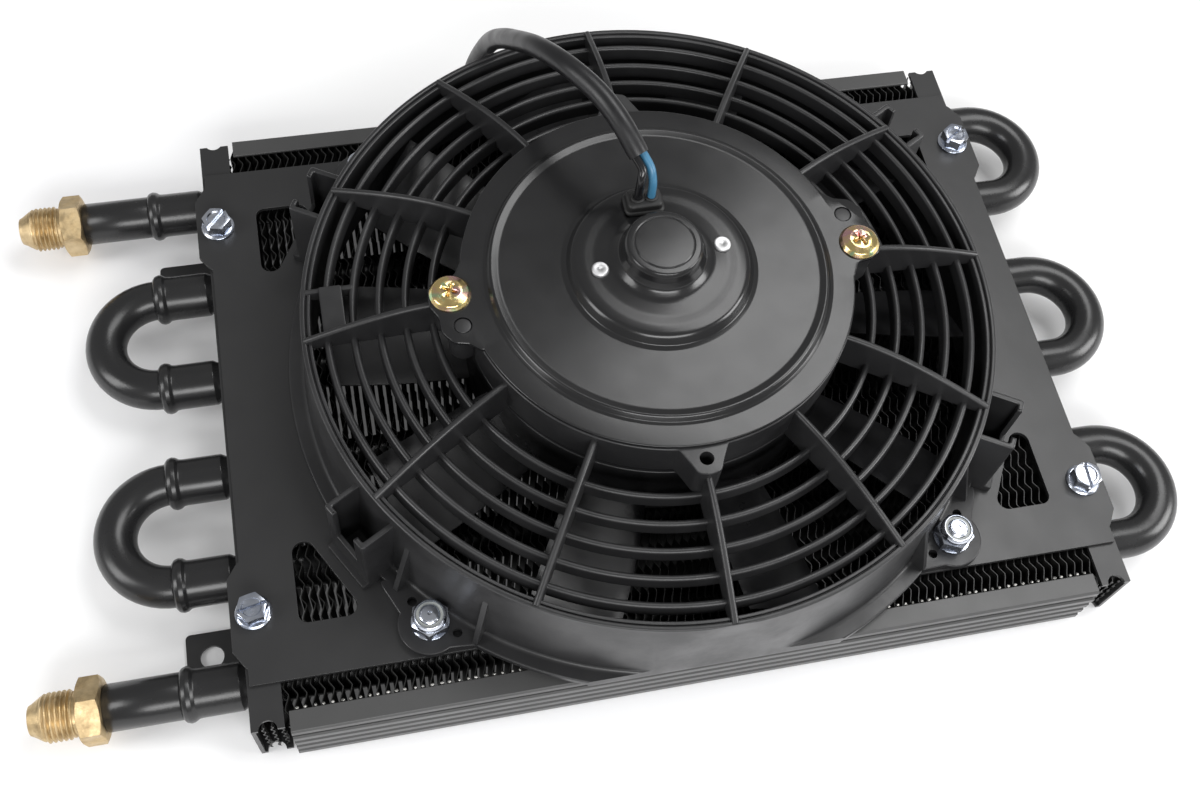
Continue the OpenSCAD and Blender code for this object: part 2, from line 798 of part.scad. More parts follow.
module motor_shaft() {
    bottom = 24.6;
    color(steel) translate([0, 0, bottom]) cylinder(r = shaft_r, h = 85.6 - bottom);
}

// Slotted lamination stack
module armature_core() {
    color([0.35, 0.35, 0.37]) difference() {
        translate([0, 0, 47]) cylinder(r = core_r, h = 17);
        translate([0, 0, 46]) cylinder(r = shaft_r + gap, h = 20);
        for (i = [0 : slot_n - 1]) rotate([0, 0, i * 360 / slot_n]) {
            translate([32, 0, 46]) cylinder(r = 5, h = 20);
            translate([32, -1, 46]) cube([12, 2, 20]);
        }
    }
}

// Copper in the slots, joined by the end turns above and below the laminations
module armature_windings() {
    color([0.7, 0.38, 0.2]) {
        for (i = [0 : slot_n - 1]) rotate([0, 0, i * 360 / slot_n])
            translate([32, 0, 44]) cylinder(r = 4.8, h = 23);
        for (z = [41.5, 64.5]) translate([0, 0, z]) pipe(37, 14, 5);
    }
}

module commutator() {
    low = 65;
    high = 78;
    color([0.75, 0.45, 0.28]) difference() {
        translate([0, 0, low]) cylinder(r = comm_r, h = high - low);
        translate([0, 0, low - 1]) cylinder(r = shaft_r + gap, h = 20);
        for (i = [0 : slot_n - 1]) rotate([0, 0, (i + 0.5) * 360 / slot_n])
            translate([comm_r - 1, -0.25, 71]) cube([3, 0.5, 10]);
    }
}

// A blade's outline angles at radius r: the low edge and the high edge
function low_angle(r) = -3.9 * (r - 60) / 34;
function high_angle(r) = -21.3 + 1.5 * (r - 64) / 30;

// Point on the blade at radius r, a share t of the way from its low to its high edge
function blade_point(r, t, lift) =
    let (a = low_angle(r) + t * (high_angle(r) - low_angle(r)))
    [
        r * cos(a), r * sin(a),
        blade_low + t * (blade_high - blade_low) - 1.6 * sin(180 * t) + lift
    ];

// One twisted blade from inside the hub's wall to the tip
module blade() {
    cuts = 7;
    across = 6;
    start_r = hub_r - 0.8;
    row = across + 1;
    skin = cuts * row;
    points = [
        for (lift = [0, blade_t])
            for (i = [0 : cuts - 1])
                for (j = [0 : across])
                    blade_point(start_r + (blade_r - start_r) * i / (cuts - 1), j / across, lift)
    ];
    low_skin = [
        for (i = [0 : cuts - 2])
            for (j = [0 : across - 1])
                let (a = i * row + j)
                each [[a, a + 1, a + row], [a + 1, a + row + 1, a + row]]
    ];
    high_skin = [for (f = low_skin) [f[0] + skin, f[2] + skin, f[1] + skin]];
    rim = concat(
        [for (j = [0 : across - 1]) [j, j + skin, j + 1 + skin, j + 1]],
        [
            for (i = [0 : cuts - 2])
                let (a = i * row + across) [a, a + skin, a + row + skin, a + row]
        ],
        [for (j = [across : -1 : 1]) let (a = skin - row + j) [a, a + skin, a - 1 + skin, a - 1]],
        [for (i = [cuts - 1 : -1 : 1]) let (a = i * row) [a, a + skin, a - row + skin, a - row]]
    );
    polyhedron(points, concat(low_skin, high_skin, rim), convexity = 4);
}

module fan_impeller() {
    wall = 2.4;
    color([0.14, 0.14, 0.15]) {
        difference() {
            union() {
                translate([0, 0, hub_z]) difference() {
                    cylinder(r = hub_r, h = hub_wall_top - hub_z, $fn = 128);
                    translate([0, 0, wall]) cylinder(r = hub_r - wall, h = 60, $fn = 128);
                }
                translate([0, 0, hub_z]) cylinder(r = 9, h = 5.6);
                for (i = [0 : 5]) rotate([0, 0, i * 60])
                    translate([8, -0.9, hub_z + 1]) cube([hub_r - 9.5, 1.8, 3.4]);
            }
            translate([0, 0, hub_z - 1]) cylinder(r = shaft_r + gap, h = 20);
        }
        for (i = [0 : blades - 1]) rotate([0, 0, fan_angle + i * 360 / blades]) blade();
    }
}

module impeller_washer() {
    color(zinc) translate([0, 0, hub_z - 1]) pipe(6.2, shaft_r + gap, 1);
}

module impeller_nut() {
    color(zinc) translate([0, 0, hub_z - 1]) mirror([0, 0, 1]) difference() {
        hex_body(10, 3.2);
        translate([0, 0, -1]) cylinder(r = shaft_r + gap, h = 6);
    }
}

module wire_blue() {
    color([0.2, 0.55, 0.75]) swept_tube(blue_route, wire_d / 2, 8);
}

module wire_black() {
    color([0.05, 0.05, 0.05]) swept_tube(black_route, wire_d / 2, 8);
}

module lead_sleeve() {
    color([0.08, 0.08, 0.08]) swept_tube(sleeve_route, sleeve_d / 2, 10);
}

// Two-way connector on the end of the lead, lying behind the core
module lead_connector() {
    start = sleeve_route[len(sleeve_route) - 1];
    body_x = start[0] + 4;
    color(plastic) difference() {
        union() {
            translate([body_x, start[1] - connector_w / 2, 0])
                cube([connector_l - 4, connector_w, connector_h - 1.4]);
            translate([body_x, start[1] - connector_w / 2 + 0.8, 0])
                cube([connector_l - 9, connector_w - 1.6, connector_h - 0.6]);
            translate([body_x + 4, start[1] - 1.8, 0]) cube([12, 3.6, connector_h]);
        }
        for (y = [-2.2, 2.2])
            translate([body_x + connector_l - 10, start[1] + y - 1.4, 2.2]) cube([8, 2.8, 1.6]);
    }
}

// Ribbed wire seal at the back of the connector
module connector_seal() {
    start = sleeve_route[len(sleeve_route) - 1];
    color([0.45, 0.2, 0.1]) translate([start[0], start[1], start[2]]) rotate([0, 90, 0]) {
        cylinder(r = 2.9, h = 4);
        for (x = [0, 1.4, 2.8]) translate([0, 0, x]) cylinder(r = 3.25, h = 0.8);
    }
}

core_fin_pack();
hairpin_tube_rear();
hairpin_tube_middle();
hairpin_tube_front();
return_bend_rear();
return_bend_front();
inlet_stub_tube();
outlet_stub_tube();
inlet_flare_fitting();
outlet_flare_fitting();
end_plate_left();
end_plate_right();
side_rail_front();
side_rail_rear();
fan_plate_left();
fan_plate_right();
plate_screws();
shroud_studs();
shroud_lock_nuts();
nut_inserts();
fan_shroud();
motor_cover();
motor_can();
motor_magnets();
upper_bush();
lower_bush();
brush_card();
brush_holders();
carbon_brushes();
brush_springs();
motor_rivets();
motor_screws();
wire_grommet();
motor_shaft();
armature_core();
armature_windings();
commutator();
fan_impeller();
impeller_washer();
impeller_nut();
wire_blue();
wire_black();
lead_sleeve();
lead_connector();
connector_seal();
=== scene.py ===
"""The looks of the hydraulic oil cooler: its camera, pieces, materials, lead and light.

Shapes are worked out in millimetres, in the part's own frame, whose Z axis is the fan's axis.
make() turns them into metres. The lead, the floor and the lights are given in metres.
"""
import math

import bmesh
import bpy
from mathutils import Matrix, Vector


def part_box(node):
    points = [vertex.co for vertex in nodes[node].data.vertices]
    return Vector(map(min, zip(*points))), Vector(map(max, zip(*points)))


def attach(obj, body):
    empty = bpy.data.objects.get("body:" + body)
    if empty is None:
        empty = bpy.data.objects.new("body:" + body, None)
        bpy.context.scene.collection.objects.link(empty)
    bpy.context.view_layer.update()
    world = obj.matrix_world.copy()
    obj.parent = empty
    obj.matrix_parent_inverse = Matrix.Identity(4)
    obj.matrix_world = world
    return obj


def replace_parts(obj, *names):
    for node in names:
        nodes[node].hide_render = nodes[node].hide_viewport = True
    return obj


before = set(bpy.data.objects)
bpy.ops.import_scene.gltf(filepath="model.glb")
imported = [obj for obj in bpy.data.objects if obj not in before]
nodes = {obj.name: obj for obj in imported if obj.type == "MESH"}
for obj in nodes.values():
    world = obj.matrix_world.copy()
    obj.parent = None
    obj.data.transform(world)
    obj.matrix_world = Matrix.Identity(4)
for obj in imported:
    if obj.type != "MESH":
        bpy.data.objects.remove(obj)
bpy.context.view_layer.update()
MM = 0.001
COOLER = "cooler"
ROTOR = "fan_rotor"


# ---------------------------------------------------------------- camera

VIEW_AZIMUTH = math.radians(-19.88)
VIEW_ELEVATION = math.radians(61.86)
VIEW_ROLL = math.radians(9.69)
VIEW_DISTANCE = 464.9
VIEW_OFFSET = (-12.3, -7.4)
VIEW_HEIGHT = 11.8
LENS = 42.27


def add_camera():
    back = Vector((
        math.sin(VIEW_AZIMUTH) * math.cos(VIEW_ELEVATION),
        -math.cos(VIEW_AZIMUTH) * math.cos(VIEW_ELEVATION),
        math.sin(VIEW_ELEVATION),
    ))
    right = Vector((math.cos(VIEW_AZIMUTH), math.sin(VIEW_AZIMUTH), 0))
    up = back.cross(right)
    turn_c = math.cos(VIEW_ROLL)
    turn_s = math.sin(VIEW_ROLL)
    x_axis = right * turn_c + up * turn_s
    y_axis = up * turn_c - right * turn_s
    place = Vector((0, 0, VIEW_HEIGHT)) + back * VIEW_DISTANCE
    place += x_axis * VIEW_OFFSET[0] + y_axis * VIEW_OFFSET[1]
    data = bpy.data.cameras.new("photo_camera")
    data.lens = LENS
    data.sensor_width = 36
    data.clip_start = 0.01
    camera = bpy.data.objects.new("photo_camera", data)
    bpy.context.scene.collection.objects.link(camera)
    rotation = Matrix((x_axis, y_axis, back)).transposed().to_4x4()
    camera.matrix_world = Matrix.Translation(place * MM) @ rotation
    bpy.context.scene.camera = camera


add_camera()

# ---------------------------------------------------------------- mesh tools


def make(name, shape, body=COOLER, sharp=35):
    """A mesh object from (points, faces) in millimetres, smooth up to the sharp angle."""
    points, faces = shape
    mesh = bpy.data.meshes.new(name)
    mesh.from_pydata([Vector(p) * MM for p in points], [], faces)
    build = bmesh.new()
    build.from_mesh(mesh)
    bmesh.ops.remove_doubles(build, verts=build.verts, dist=1e-6)
    bmesh.ops.recalc_face_normals(build, faces=build.faces)
    build.to_mesh(mesh)
    build.free()
    shade(mesh, sharp)
    return placed(name, mesh, body)


def placed(name, mesh, body=COOLER):
    """A new object for a mesh, which moves with a body."""
    piece = bpy.data.objects.new(name, mesh)
    bpy.context.scene.collection.objects.link(piece)
    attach(piece, body)
    return piece


def shade(mesh, sharp):
    mesh.shade_smooth()
    mesh.set_sharp_from_angle(angle=math.radians(sharp))


def flatten_shading(piece):
    """Makes flat faces shade flat right up to their rounded edges."""
    change = piece.modifiers.new("flat_shading", "WEIGHTED_NORMAL")
    change.keep_sharp = True
    change.weight = 80
    apply_modifiers(piece)


def join(*shapes):
    """One shape from several."""
    points, faces = [], []
    for p, f in shapes:
        start = len(points)
        points += p
        faces += [tuple(start + i for i in face) for face in f]
    return points, faces


def moved(shape, matrix):
    return [matrix @ Vector(p) for p in shape[0]], shape[1]


def turned(shape, angle):
    return moved(shape, Matrix.Rotation(math.radians(angle), 4, "Z"))


def shifted(shape, x=0, y=0, z=0):
    return moved(shape, Matrix.Translation((x, y, z)))


def leftward(x, y, z):
    """The place at x, y, z for a shape drawn along Z that is to lie along -X."""
    return Matrix.Translation((x, y, z)) @ Matrix.Rotation(math.radians(-90), 4, "Y")


def upright(x, y, z, turn):
    """The place at x, y, z for a shape turned about Z by degrees."""
    return Matrix.Translation((x, y, z)) @ Matrix.Rotation(math.radians(turn), 4, "Z")


def four_places(x, y):
    return [(u, v) for u in (-x, x) for v in (-y, y)]


def mirrored(shape, x=1, y=1):
    points = [(p[0] * x, p[1] * y, p[2]) for p in shape[0]]
    flip = x * y < 0
    return points, [tuple(reversed(f)) if flip else f for f in shape[1]]


def rounded(outline, radius, steps=4, closed=True):
    """The 2D outline with round corners. radius is one number, or one for each point."""
    count = len(outline)
    out = []
    for i, corner in enumerate(outline):
        r = radius[i] if isinstance(radius, (list, tuple)) else radius
        p = Vector(corner)
        before = Vector(outline[i - 1]) - p
        after = Vector(outline[(i + 1) % count]) - p
        ends = not closed and i in (0, count - 1)
        if ends or r <= 0 or before.length < 1e-6 or after.length < 1e-6:
            out.append(p)
            continue
        half = before.angle(after) / 2
        if half > math.radians(88):
            out.append(p)
            continue
        cut = min(r / math.tan(half), 0.48 * before.length, 0.48 * after.length)
        a = p + before.normalized() * cut
        b = p + after.normalized() * cut
        for k in range(steps + 1):
            t = k / steps
            out.append(a * (1 - t) ** 2 + p * 2 * t * (1 - t) + b * t ** 2)
    return out


def lathe(outline, segments):
    """A closed (r, z) outline turned about Z."""
    count = len(outline)
    points, faces = [], []
    for k in range(segments):
        a = 2 * math.pi * k / segments
        points += [(p[0] * math.cos(a), p[0] * math.sin(a), p[1]) for p in outline]
        near, far = k * count, (k + 1) % segments * count
        for i in range(count):
            j = (i + 1) % count
            faces.append((near + i, near + j, far + j, far + i))
    return points, faces


def loft(sections):
    """Joins sections of equal length, each a list of 3D points, and caps the two ends."""
    count = len(sections[0])
    points = [Vector(p) for section in sections for p in section]
    faces = []
    for k in range(len(sections) - 1):
        near, far = k * count, (k + 1) * count
        for i in range(count):
            j = (i + 1) % count
            faces.append((near + i, near + j, far + j, far + i))
    faces.append(tuple(reversed(range(count))))
    faces.append(tuple(range((len(sections) - 1) * count, len(sections) * count)))
    return points, faces


def slab(outline, z0, z1, edge, steps=2):
    """A 2D outline extruded from z0 to z1, with its top and bottom edges rounded."""
    def inset(distance):
        out = []
        count = len(outline)
        for i in range(count):
            p = Vector(outline[i])
            u = (p - Vector(outline[i - 1])).normalized()
            v = (Vector(outline[(i + 1) % count]) - p).normalized()
            normal = Vector((-(u + v).y, (u + v).x))
            if normal.length < 1e-6:
                normal = Vector((-u.y, u.x))
            normal.normalize()
            lean = max(0.5, normal.dot(Vector((-u.y, u.x))))
            out.append(p + normal * distance / lean)
        return out
    area = sum(
        outline[i - 1][0] * outline[i][1] - outline[i][0] * outline[i - 1][1]
        for i in range(len(outline))
    )
    inward = 1 if area > 0 else -1
    turns = [math.pi / 2 * k / steps for k in range(steps + 1)]
    levels = [(z0 + edge * (1 - math.cos(a)), edge * (1 - math.sin(a))) for a in turns]
    top = [(z0 + z1 - z, d) for z, d in reversed(levels)]
    sections = []
    for z, d in levels + top:
        sections.append([(p.x, p.y, z) for p in inset(d * inward)])
    return loft(sections)


def rod(r, z0, z1, edge=0.2, segments=32):
    """A round bar with rounded rims."""
    outline = rounded([(0.0, z0), (r, z0), (r, z1), (0.0, z1)], [0, edge, edge, 0], 3)
    return lathe(outline, segments)


def hexagon(af):
    r = af / math.sqrt(3)
    return [(r * math.cos(math.pi / 3 * k), r * math.sin(math.pi / 3 * k)) for k in range(6)]


def sweep(path, radii, sides):
    """A round tube along a 3D path, with one radius for each of its points."""
    path = [Vector(p) for p in path]
    sections = []
    side = None
    for i, p in enumerate(path):
        ahead = (path[min(i + 1, len(path) - 1)] - path[max(i - 1, 0)]).normalized()
        if side is None:
            side = ahead.orthogonal().normalized()
        side = (side - ahead * side.dot(ahead)).normalized()
        up = ahead.cross(side)
        ring = []
        for k in range(sides):
            a = 2 * math.pi * k / sides
            ring.append(p + (side * math.cos(a) + up * math.sin(a)) * radii[i])
        sections.append(ring)
    return loft(sections)


def cut(piece, *shapes, operation="DIFFERENCE"):
    """Cuts closed shapes from a piece, or joins or intersects them, and keeps the result."""
    for shape in shapes:
        tool = make("tool", shape)
        change = piece.modifiers.new("cut", "BOOLEAN")
        change.operation = operation
        change.solver = "MANIFOLD"
        change.object = tool
        apply_modifiers(piece)
        bpy.data.objects.remove(tool)
    return piece


def apply_modifiers(piece):
    bpy.context.view_layer.update()
    graph = bpy.context.evaluated_depsgraph_get()
    mesh = bpy.data.meshes.new_from_object(piece.evaluated_get(graph))
    piece.modifiers.clear()
    old = piece.data
    piece.data = mesh
    bpy.data.meshes.remove(old)
    mesh.name = piece.name


def fused(name, shapes, body=COOLER, sharp=35, minus=()):
    """One piece from closed shapes that overlap, with the shapes of minus cut away."""
    piece = make(name, shapes[0], body)
    cut(piece, *shapes[1:], operation="UNION")
    cut(piece, *minus)
    shade(piece.data, sharp)
    flatten_shading(piece)
    return piece


def softened(node, edge):
    """A copy of a CAD node with its sharp edges rounded, in place of the node."""
    sharp = math.radians(40)
    build = bmesh.new()
    build.from_mesh(nodes[node].data)
    bmesh.ops.remove_doubles(build, verts=build.verts, dist=2e-6)
    bmesh.ops.dissolve_limit(
        build, angle_limit=math.radians(0.6), verts=build.verts, edges=build.edges
    )
    corners = [
        e for e in build.edges
        if len(e.link_faces) == 2 and e.calc_face_angle(0) > sharp
    ]
    bmesh.ops.bevel(
        build, geom=corners, offset=edge * MM, segments=2, profile=0.5,
        affect="EDGES", clamp_overlap=True,
    )
    mesh = bpy.data.meshes.new(node + "_finish")
    build.to_mesh(mesh)
    build.free()
    shade(mesh, 60)
    piece = placed(mesh.name, mesh)
    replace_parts(piece, node)
    flatten_shading(piece)
    return piece


# ---------------------------------------------------------------- materials


class Paint:
    """A node material: a Principled shader whose colour, roughness and bump get grain."""

    def __init__(self, name, color, rough, metal=0.0):
        self.material = bpy.data.materials.new(name)
        self.material.use_nodes = True
        self.tree = self.material.node_tree
        self.shader = self.tree.nodes["Principled BSDF"]
        self.shader.inputs["Base Color"].default_value = (*color, 1)
        self.shader.inputs["Roughness"].default_value = rough
        self.shader.inputs["Metallic"].default_value = metal
        self.color = color
        self.height = None
        self.place = self.add("ShaderNodeTexCoord").outputs["Object"]

    def add(self, kind, **values):
        node = self.tree.nodes.new(kind)
        for key, value in values.items():
            setattr(node, key, value)
        return node

    def link(self, out, into):
        self.tree.links.new(out, into)

    def noise(self, scale, detail, stretch=(1, 1, 1), rough=0.5):
        mapping = self.add("ShaderNodeMapping")
        mapping.inputs["Scale"].default_value = stretch
        self.link(self.place, mapping.inputs["Vector"])
        node = self.add("ShaderNodeTexNoise")
        node.inputs["Scale"].default_value = scale
        node.inputs["Detail"].default_value = detail
        node.inputs["Roughness"].default_value = rough
        self.link(mapping.outputs["Vector"], node.inputs["Vector"])
        return node.outputs["Fac"]

    def spread(self, value, low, high, start=0.35, end=0.65):
        node = self.add("ShaderNodeMapRange")
        node.inputs["From Min"].default_value = start
        node.inputs["From Max"].default_value = end
        node.inputs["To Min"].default_value = low
        node.inputs["To Max"].default_value = high
        self.link(value, node.inputs["Value"])
        return node.outputs["Result"]

    def roughness(self, value, low, high):
        self.link(self.spread(value, low, high), self.shader.inputs["Roughness"])

    def mottle(self, value, other, start, end):
        """Mixes a second colour in where value is high."""
        node = self.add("ShaderNodeMix", data_type="RGBA")
        base = self.shader.inputs["Base Color"]
        if base.is_linked:
            self.link(base.links[0].from_socket, node.inputs["A"])
        else:
            node.inputs["A"].default_value = (*self.color, 1)
        node.inputs["B"].default_value = (*other, 1)
        self.link(self.spread(value, 0, 1, start, end), node.inputs["Factor"])
        self.link(node.outputs["Result"], base)

    def bump(self, value, depth):
        """Bump of a depth in millimetres. Calls add up."""
        node = self.add("ShaderNodeBump")
        node.inputs["Distance"].default_value = depth * MM
        node.inputs["Strength"].default_value = 1
        self.link(value, node.inputs["Height"])
        if self.height is not None:
            self.link(self.height, node.inputs["Normal"])
        self.height = node.outputs["Normal"]
        self.link(self.height, self.shader.inputs["Normal"])


def satin_paint(name, color, rough, grain=0.012, dust=0.5):
    """Black paint or powder coat: fine orange peel, uneven sheen and a little dust."""
    paint = Paint(name, color, rough)
    paint.roughness(paint.noise(90, 4), rough - 0.02, rough + 0.03)
    dusty = tuple(c * 1.35 + 0.003 for c in color)
    paint.mottle(paint.noise(28, 6, rough=0.65), dusty, 0.52, 0.52 + 0.4 / dust)
    paint.bump(paint.noise(900, 2), grain)
    paint.bump(paint.noise(160, 2), grain * 2)
    return paint.material


def moulded_plastic(name, color, rough):
    """Injection-moulded nylon: fine matt texture with faint flow marks."""
    paint = Paint(name, color, rough)
    paint.roughness(paint.noise(60, 5, rough=0.6), rough - 0.07, rough + 0.09)
    lighter = tuple(c * 1.6 + 0.008 for c in color)
    paint.mottle(paint.noise(22, 5, rough=0.6), lighter, 0.5, 0.8)
    paint.bump(paint.noise(1500, 2), 0.010)
    paint.bump(paint.noise(240, 3), 0.02)
    return paint.material


def plated(name, color, rough, other, patch=120):
    """Plated or polished metal with cloudy patches and fine scratches."""
    paint = Paint(name, color, rough, 1.0)
    paint.mottle(paint.noise(patch, 3), other, 0.42, 0.62)
    paint.roughness(paint.noise(260, 4), rough - 0.06, rough + 0.14)
    paint.bump(paint.noise(700, 3), 0.01)
    return paint.material


def rough_brass():
    """Brass with the dull, grainy skin of a machined and tumbled fitting."""
    paint = Paint("rough_brass", (0.6, 0.46, 0.26), 0.44, 1.0)
    paint.mottle(paint.noise(260, 6, rough=0.75), (0.36, 0.26, 0.14), 0.42, 0.72)
    paint.mottle(paint.noise(110, 3), (0.7, 0.56, 0.35), 0.52, 0.8)
    paint.roughness(paint.noise(340, 4), 0.36, 0.6)
    paint.bump(paint.noise(1300, 4), 0.045)
    return paint.material


def yellow_zinc():
    """Yellow passivated zinc, which shifts from gold to pink and green."""
    paint = Paint("yellow_zinc", (0.78, 0.6, 0.26), 0.2, 1.0)
    paint.mottle(paint.noise(240, 3), (0.72, 0.42, 0.42), 0.5, 0.66)
    paint.mottle(paint.noise(310, 2, (1, 1.3, 1)), (0.5, 0.66, 0.38), 0.56, 0.7)
    paint.roughness(paint.noise(500, 3), 0.14, 0.3)
    paint.bump(paint.noise(900, 2), 0.008)
    return paint.material


def plain_plastic(name, color, rough, bump=0.006, scale=800):
    paint = Paint(name, color, rough)
    paint.roughness(paint.noise(150, 3), rough - 0.05, rough + 0.08)
    paint.mottle(paint.noise(60, 3), tuple(c * 0.82 for c in color), 0.4, 0.7)
    paint.bump(paint.noise(scale, 2), bump)
    return paint.material


def floor_paint():
    paint = Paint("studio_floor", (0.87, 0.87, 0.87), 0.6)
    paint.mottle(paint.noise(3, 2), (0.85, 0.85, 0.86), 0.4, 0.6)
    paint.shader.inputs["Emission Color"].default_value = (1, 1, 1, 1)
    paint.shader.inputs["Emission Strength"].default_value = 0.08
    return paint.material


FINISH = {
    "plate": satin_paint("plate_powder_coat", (0.022, 0.022, 0.0225), 0.33),
    "tube": satin_paint("tube_paint", (0.014, 0.014, 0.0145), 0.26, 0.014),
    "fin": satin_paint("fin_paint", (0.008, 0.008, 0.0075), 0.42, 0.01),
    # Bright metal for the painted glint beads at the front rail, standing for light seen between
    # the fins
    "painted_glint": plated("painted_glint_metal", (0.5, 0.49, 0.47), 0.42, (0.16, 0.16, 0.15), 900),
    "rail": satin_paint("rail_paint", (0.055, 0.055, 0.055), 0.36),
    "motor": satin_paint("motor_paint", (0.011, 0.011, 0.0115), 0.21, 0.004, 0.3),
    "shroud": moulded_plastic("shroud_nylon", (0.017, 0.017, 0.0178), 0.36),
    "fan": moulded_plastic("fan_nylon", (0.018, 0.018, 0.019), 0.34),
    "zinc": plated("bright_zinc", (0.66, 0.69, 0.76), 0.17, (0.42, 0.46, 0.55)),
    "gold": yellow_zinc(),
    "brass": rough_brass(),
    "bronze": plated("sintered_bronze", (0.5, 0.32, 0.17), 0.45, (0.38, 0.25, 0.14)),
    "steel": plated("plain_steel", (0.5, 0.5, 0.51), 0.35, (0.38, 0.38, 0.4)),
    "dark_steel": plated("lamination_steel", (0.22, 0.22, 0.23), 0.45, (0.16, 0.15, 0.15)),
    "copper": plated("winding_copper", (0.6, 0.28, 0.14), 0.35, (0.45, 0.2, 0.1)),
    "aluminium": plated("rivet_aluminium", (0.8, 0.8, 0.8), 0.5, (0.62, 0.62, 0.63)),
    "ferrite": plain_plastic("ferrite", (0.05, 0.05, 0.052), 0.6, 0.02),
    "carbon": plain_plastic("carbon", (0.03, 0.03, 0.03), 0.55, 0.03),
    "card": plain_plastic("phenolic_card", (0.25, 0.13, 0.06), 0.5, 0.02),
    "nylon": plain_plastic("insert_nylon", (0.5, 0.52, 0.5), 0.4),
    "rubber": plain_plastic("rubber", (0.012, 0.012, 0.012), 0.5, 0.02),
    "seal": plain_plastic("seal_rubber", (0.3, 0.08, 0.04), 0.5, 0.02),
    "connector": plain_plastic("connector_plastic", (0.02, 0.02, 0.02), 0.38, 0.01),
    "sleeve": plain_plastic("sleeve_vinyl", (0.006, 0.006, 0.007), 0.38, 0.012, 300),
    "blue": plain_plastic("blue_wire", (0.045, 0.165, 0.28), 0.28),
    "black": plain_plastic("black_wire", (0.007, 0.007, 0.008), 0.16),
}


def dress(piece, finish):
    piece.data.materials.clear()
    piece.data.materials.append(FINISH[finish])
    return piece


# ---------------------------------------------------------------- lead

WIRE_D = 0.0025
SLEEVE_D = 0.0064
SLEEVE_ROUTE = [
    (-0.003, 0.025, 0.096), (-0.007, 0.033, 0.101), (-0.012, 0.042, 0.104),
    (-0.019, 0.053, 0.104), (-0.025, 0.066, 0.098), (-0.029, 0.079, 0.087),
    (-0.031, 0.090, 0.076), (-0.033, 0.099, 0.065), (-0.035, 0.106, 0.052),
    (-0.037, 0.110, 0.040), (-0.038, 0.111, 0.029), (-0.036, 0.111, 0.019),
    (-0.030, 0.110, 0.011), (-0.022, 0.109, 0.0055), (-0.012, 0.109, 0.0033),
    (0.005, 0.109, 0.0033), (0.020, 0.109, 0.0033), (0.035, 0.109, 0.0033),
    (0.050, 0.109, 0.0033), (0.065, 0.109, 0.0033), (0.080, 0.109, 0.0033),
]
BLUE_ROUTE = [
    (0.0004, 0.0185, 0.0805), (0.0004, 0.0185, 0.0855), (0.0005, 0.0192, 0.0895),
    (0.0003, 0.0206, 0.0922), (-0.0002, 0.0224, 0.094), (-0.0018, 0.0256, 0.096),
]
BLACK_ROUTE = [
    (-0.0036, 0.0185, 0.0805), (-0.0036, 0.0185, 0.0855), (-0.0034, 0.0187, 0.0895),
    (-0.003, 0.0196, 0.0922), (-0.0026, 0.0212, 0.094), (-0.0042, 0.0244, 0.096),
]


def smooth_path(route):
    """A smooth curve through the route's points."""
    steps = 6
    points = [Vector(p) for p in route]
    first = points[0] * 2 - points[1]
    last = points[-1] * 2 - points[-2]
    points = [first] + points + [last]
    out = []
    for i in range(1, len(points) - 2):
        p0, p1, p2, p3 = points[i - 1: i + 3]
        for k in range(steps):
            t = k / steps
            out.append(0.5 * (
                2 * p1 + (p2 - p0) * t + (2 * p0 - 5 * p1 + 4 * p2 - p3) * t * t
                + (3 * p1 - p0 - 3 * p2 + p3) * t ** 3
            ))
    out.append(points[-2])
    return out


def add_wire(name, route, finish, node):
    path = smooth_path(route)
    shape = sweep([p / MM for p in path], [WIRE_D / 2 / MM] * len(path), 20)
    piece = dress(make(name, shape), finish)
    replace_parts(piece, node)
    return piece


def add_sleeve():
    """The sleeve, whose open mouth shows a dark inside round the two wires."""
    path = smooth_path(SLEEVE_ROUTE)
    inner = 0.78 * SLEEVE_D / 2 / MM
    outer = SLEEVE_D / 2 / MM
    outside = [p / MM for p in path]
    depth = 5
    inside = list(reversed(outside[:depth]))
    radii = [inner] * depth + [outer - 0.15] + [outer] * (len(outside) - 1)
    shape = sweep(inside + outside, radii, 32)
    piece = dress(make("lead_sleeve_tube", shape, sharp=50), "sleeve")
    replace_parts(piece, "lead_sleeve")
    return piece, path


wires = [add_wire("blue_wire_run", BLUE_ROUTE, "blue", "wire_blue"),
         add_wire("black_wire_run", BLACK_ROUTE, "black", "wire_black")]
sleeve, sleeve_path = add_sleeve()
connector = dress(softened("lead_connector", 0.4), "connector")
connector_seal = dress(softened("connector_seal", 0.2), "seal")
grommet_low, grommet_high = (Vector(corner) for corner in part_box("wire_grommet"))
lead_exit = (grommet_low + grommet_high) / 2
lead_exit.z = grommet_high.z

# ---------------------------------------------------------------- core

TUBE_R = 6.35
STUB_R = 6.85
TUBE_Z = 11.8
PITCH = 33.45
PASSES = 6
TUBE_SIDES = 48
# Centres of the bends on the right and on the left
HAIRPIN_X = 142.2
RETURN_X = -151.4
# Where the belled tube ends begin and end, and where the tubes in them stop
BELL_X = -133.5
MOUTH_X = -149.8
SOCKET_X = -138
# The fittings' inner face, and the stub tubes' end inside them
HEX_X = -172.9
STUB_END_X = -176


def tube_y(k):
    return (PASSES - 1) / 2 * PITCH - k * PITCH


def bend_points(x, y, side):
    """Points of a half circle from the upper pass to the lower one."""
    steps = 28
    out = []
    for k in range(steps + 1):
        a = math.pi / 2 - math.pi * k / steps
        out.append((x + side * PITCH / 2 * math.cos(a), y + PITCH / 2 * math.sin(a), TUBE_Z))
    return out


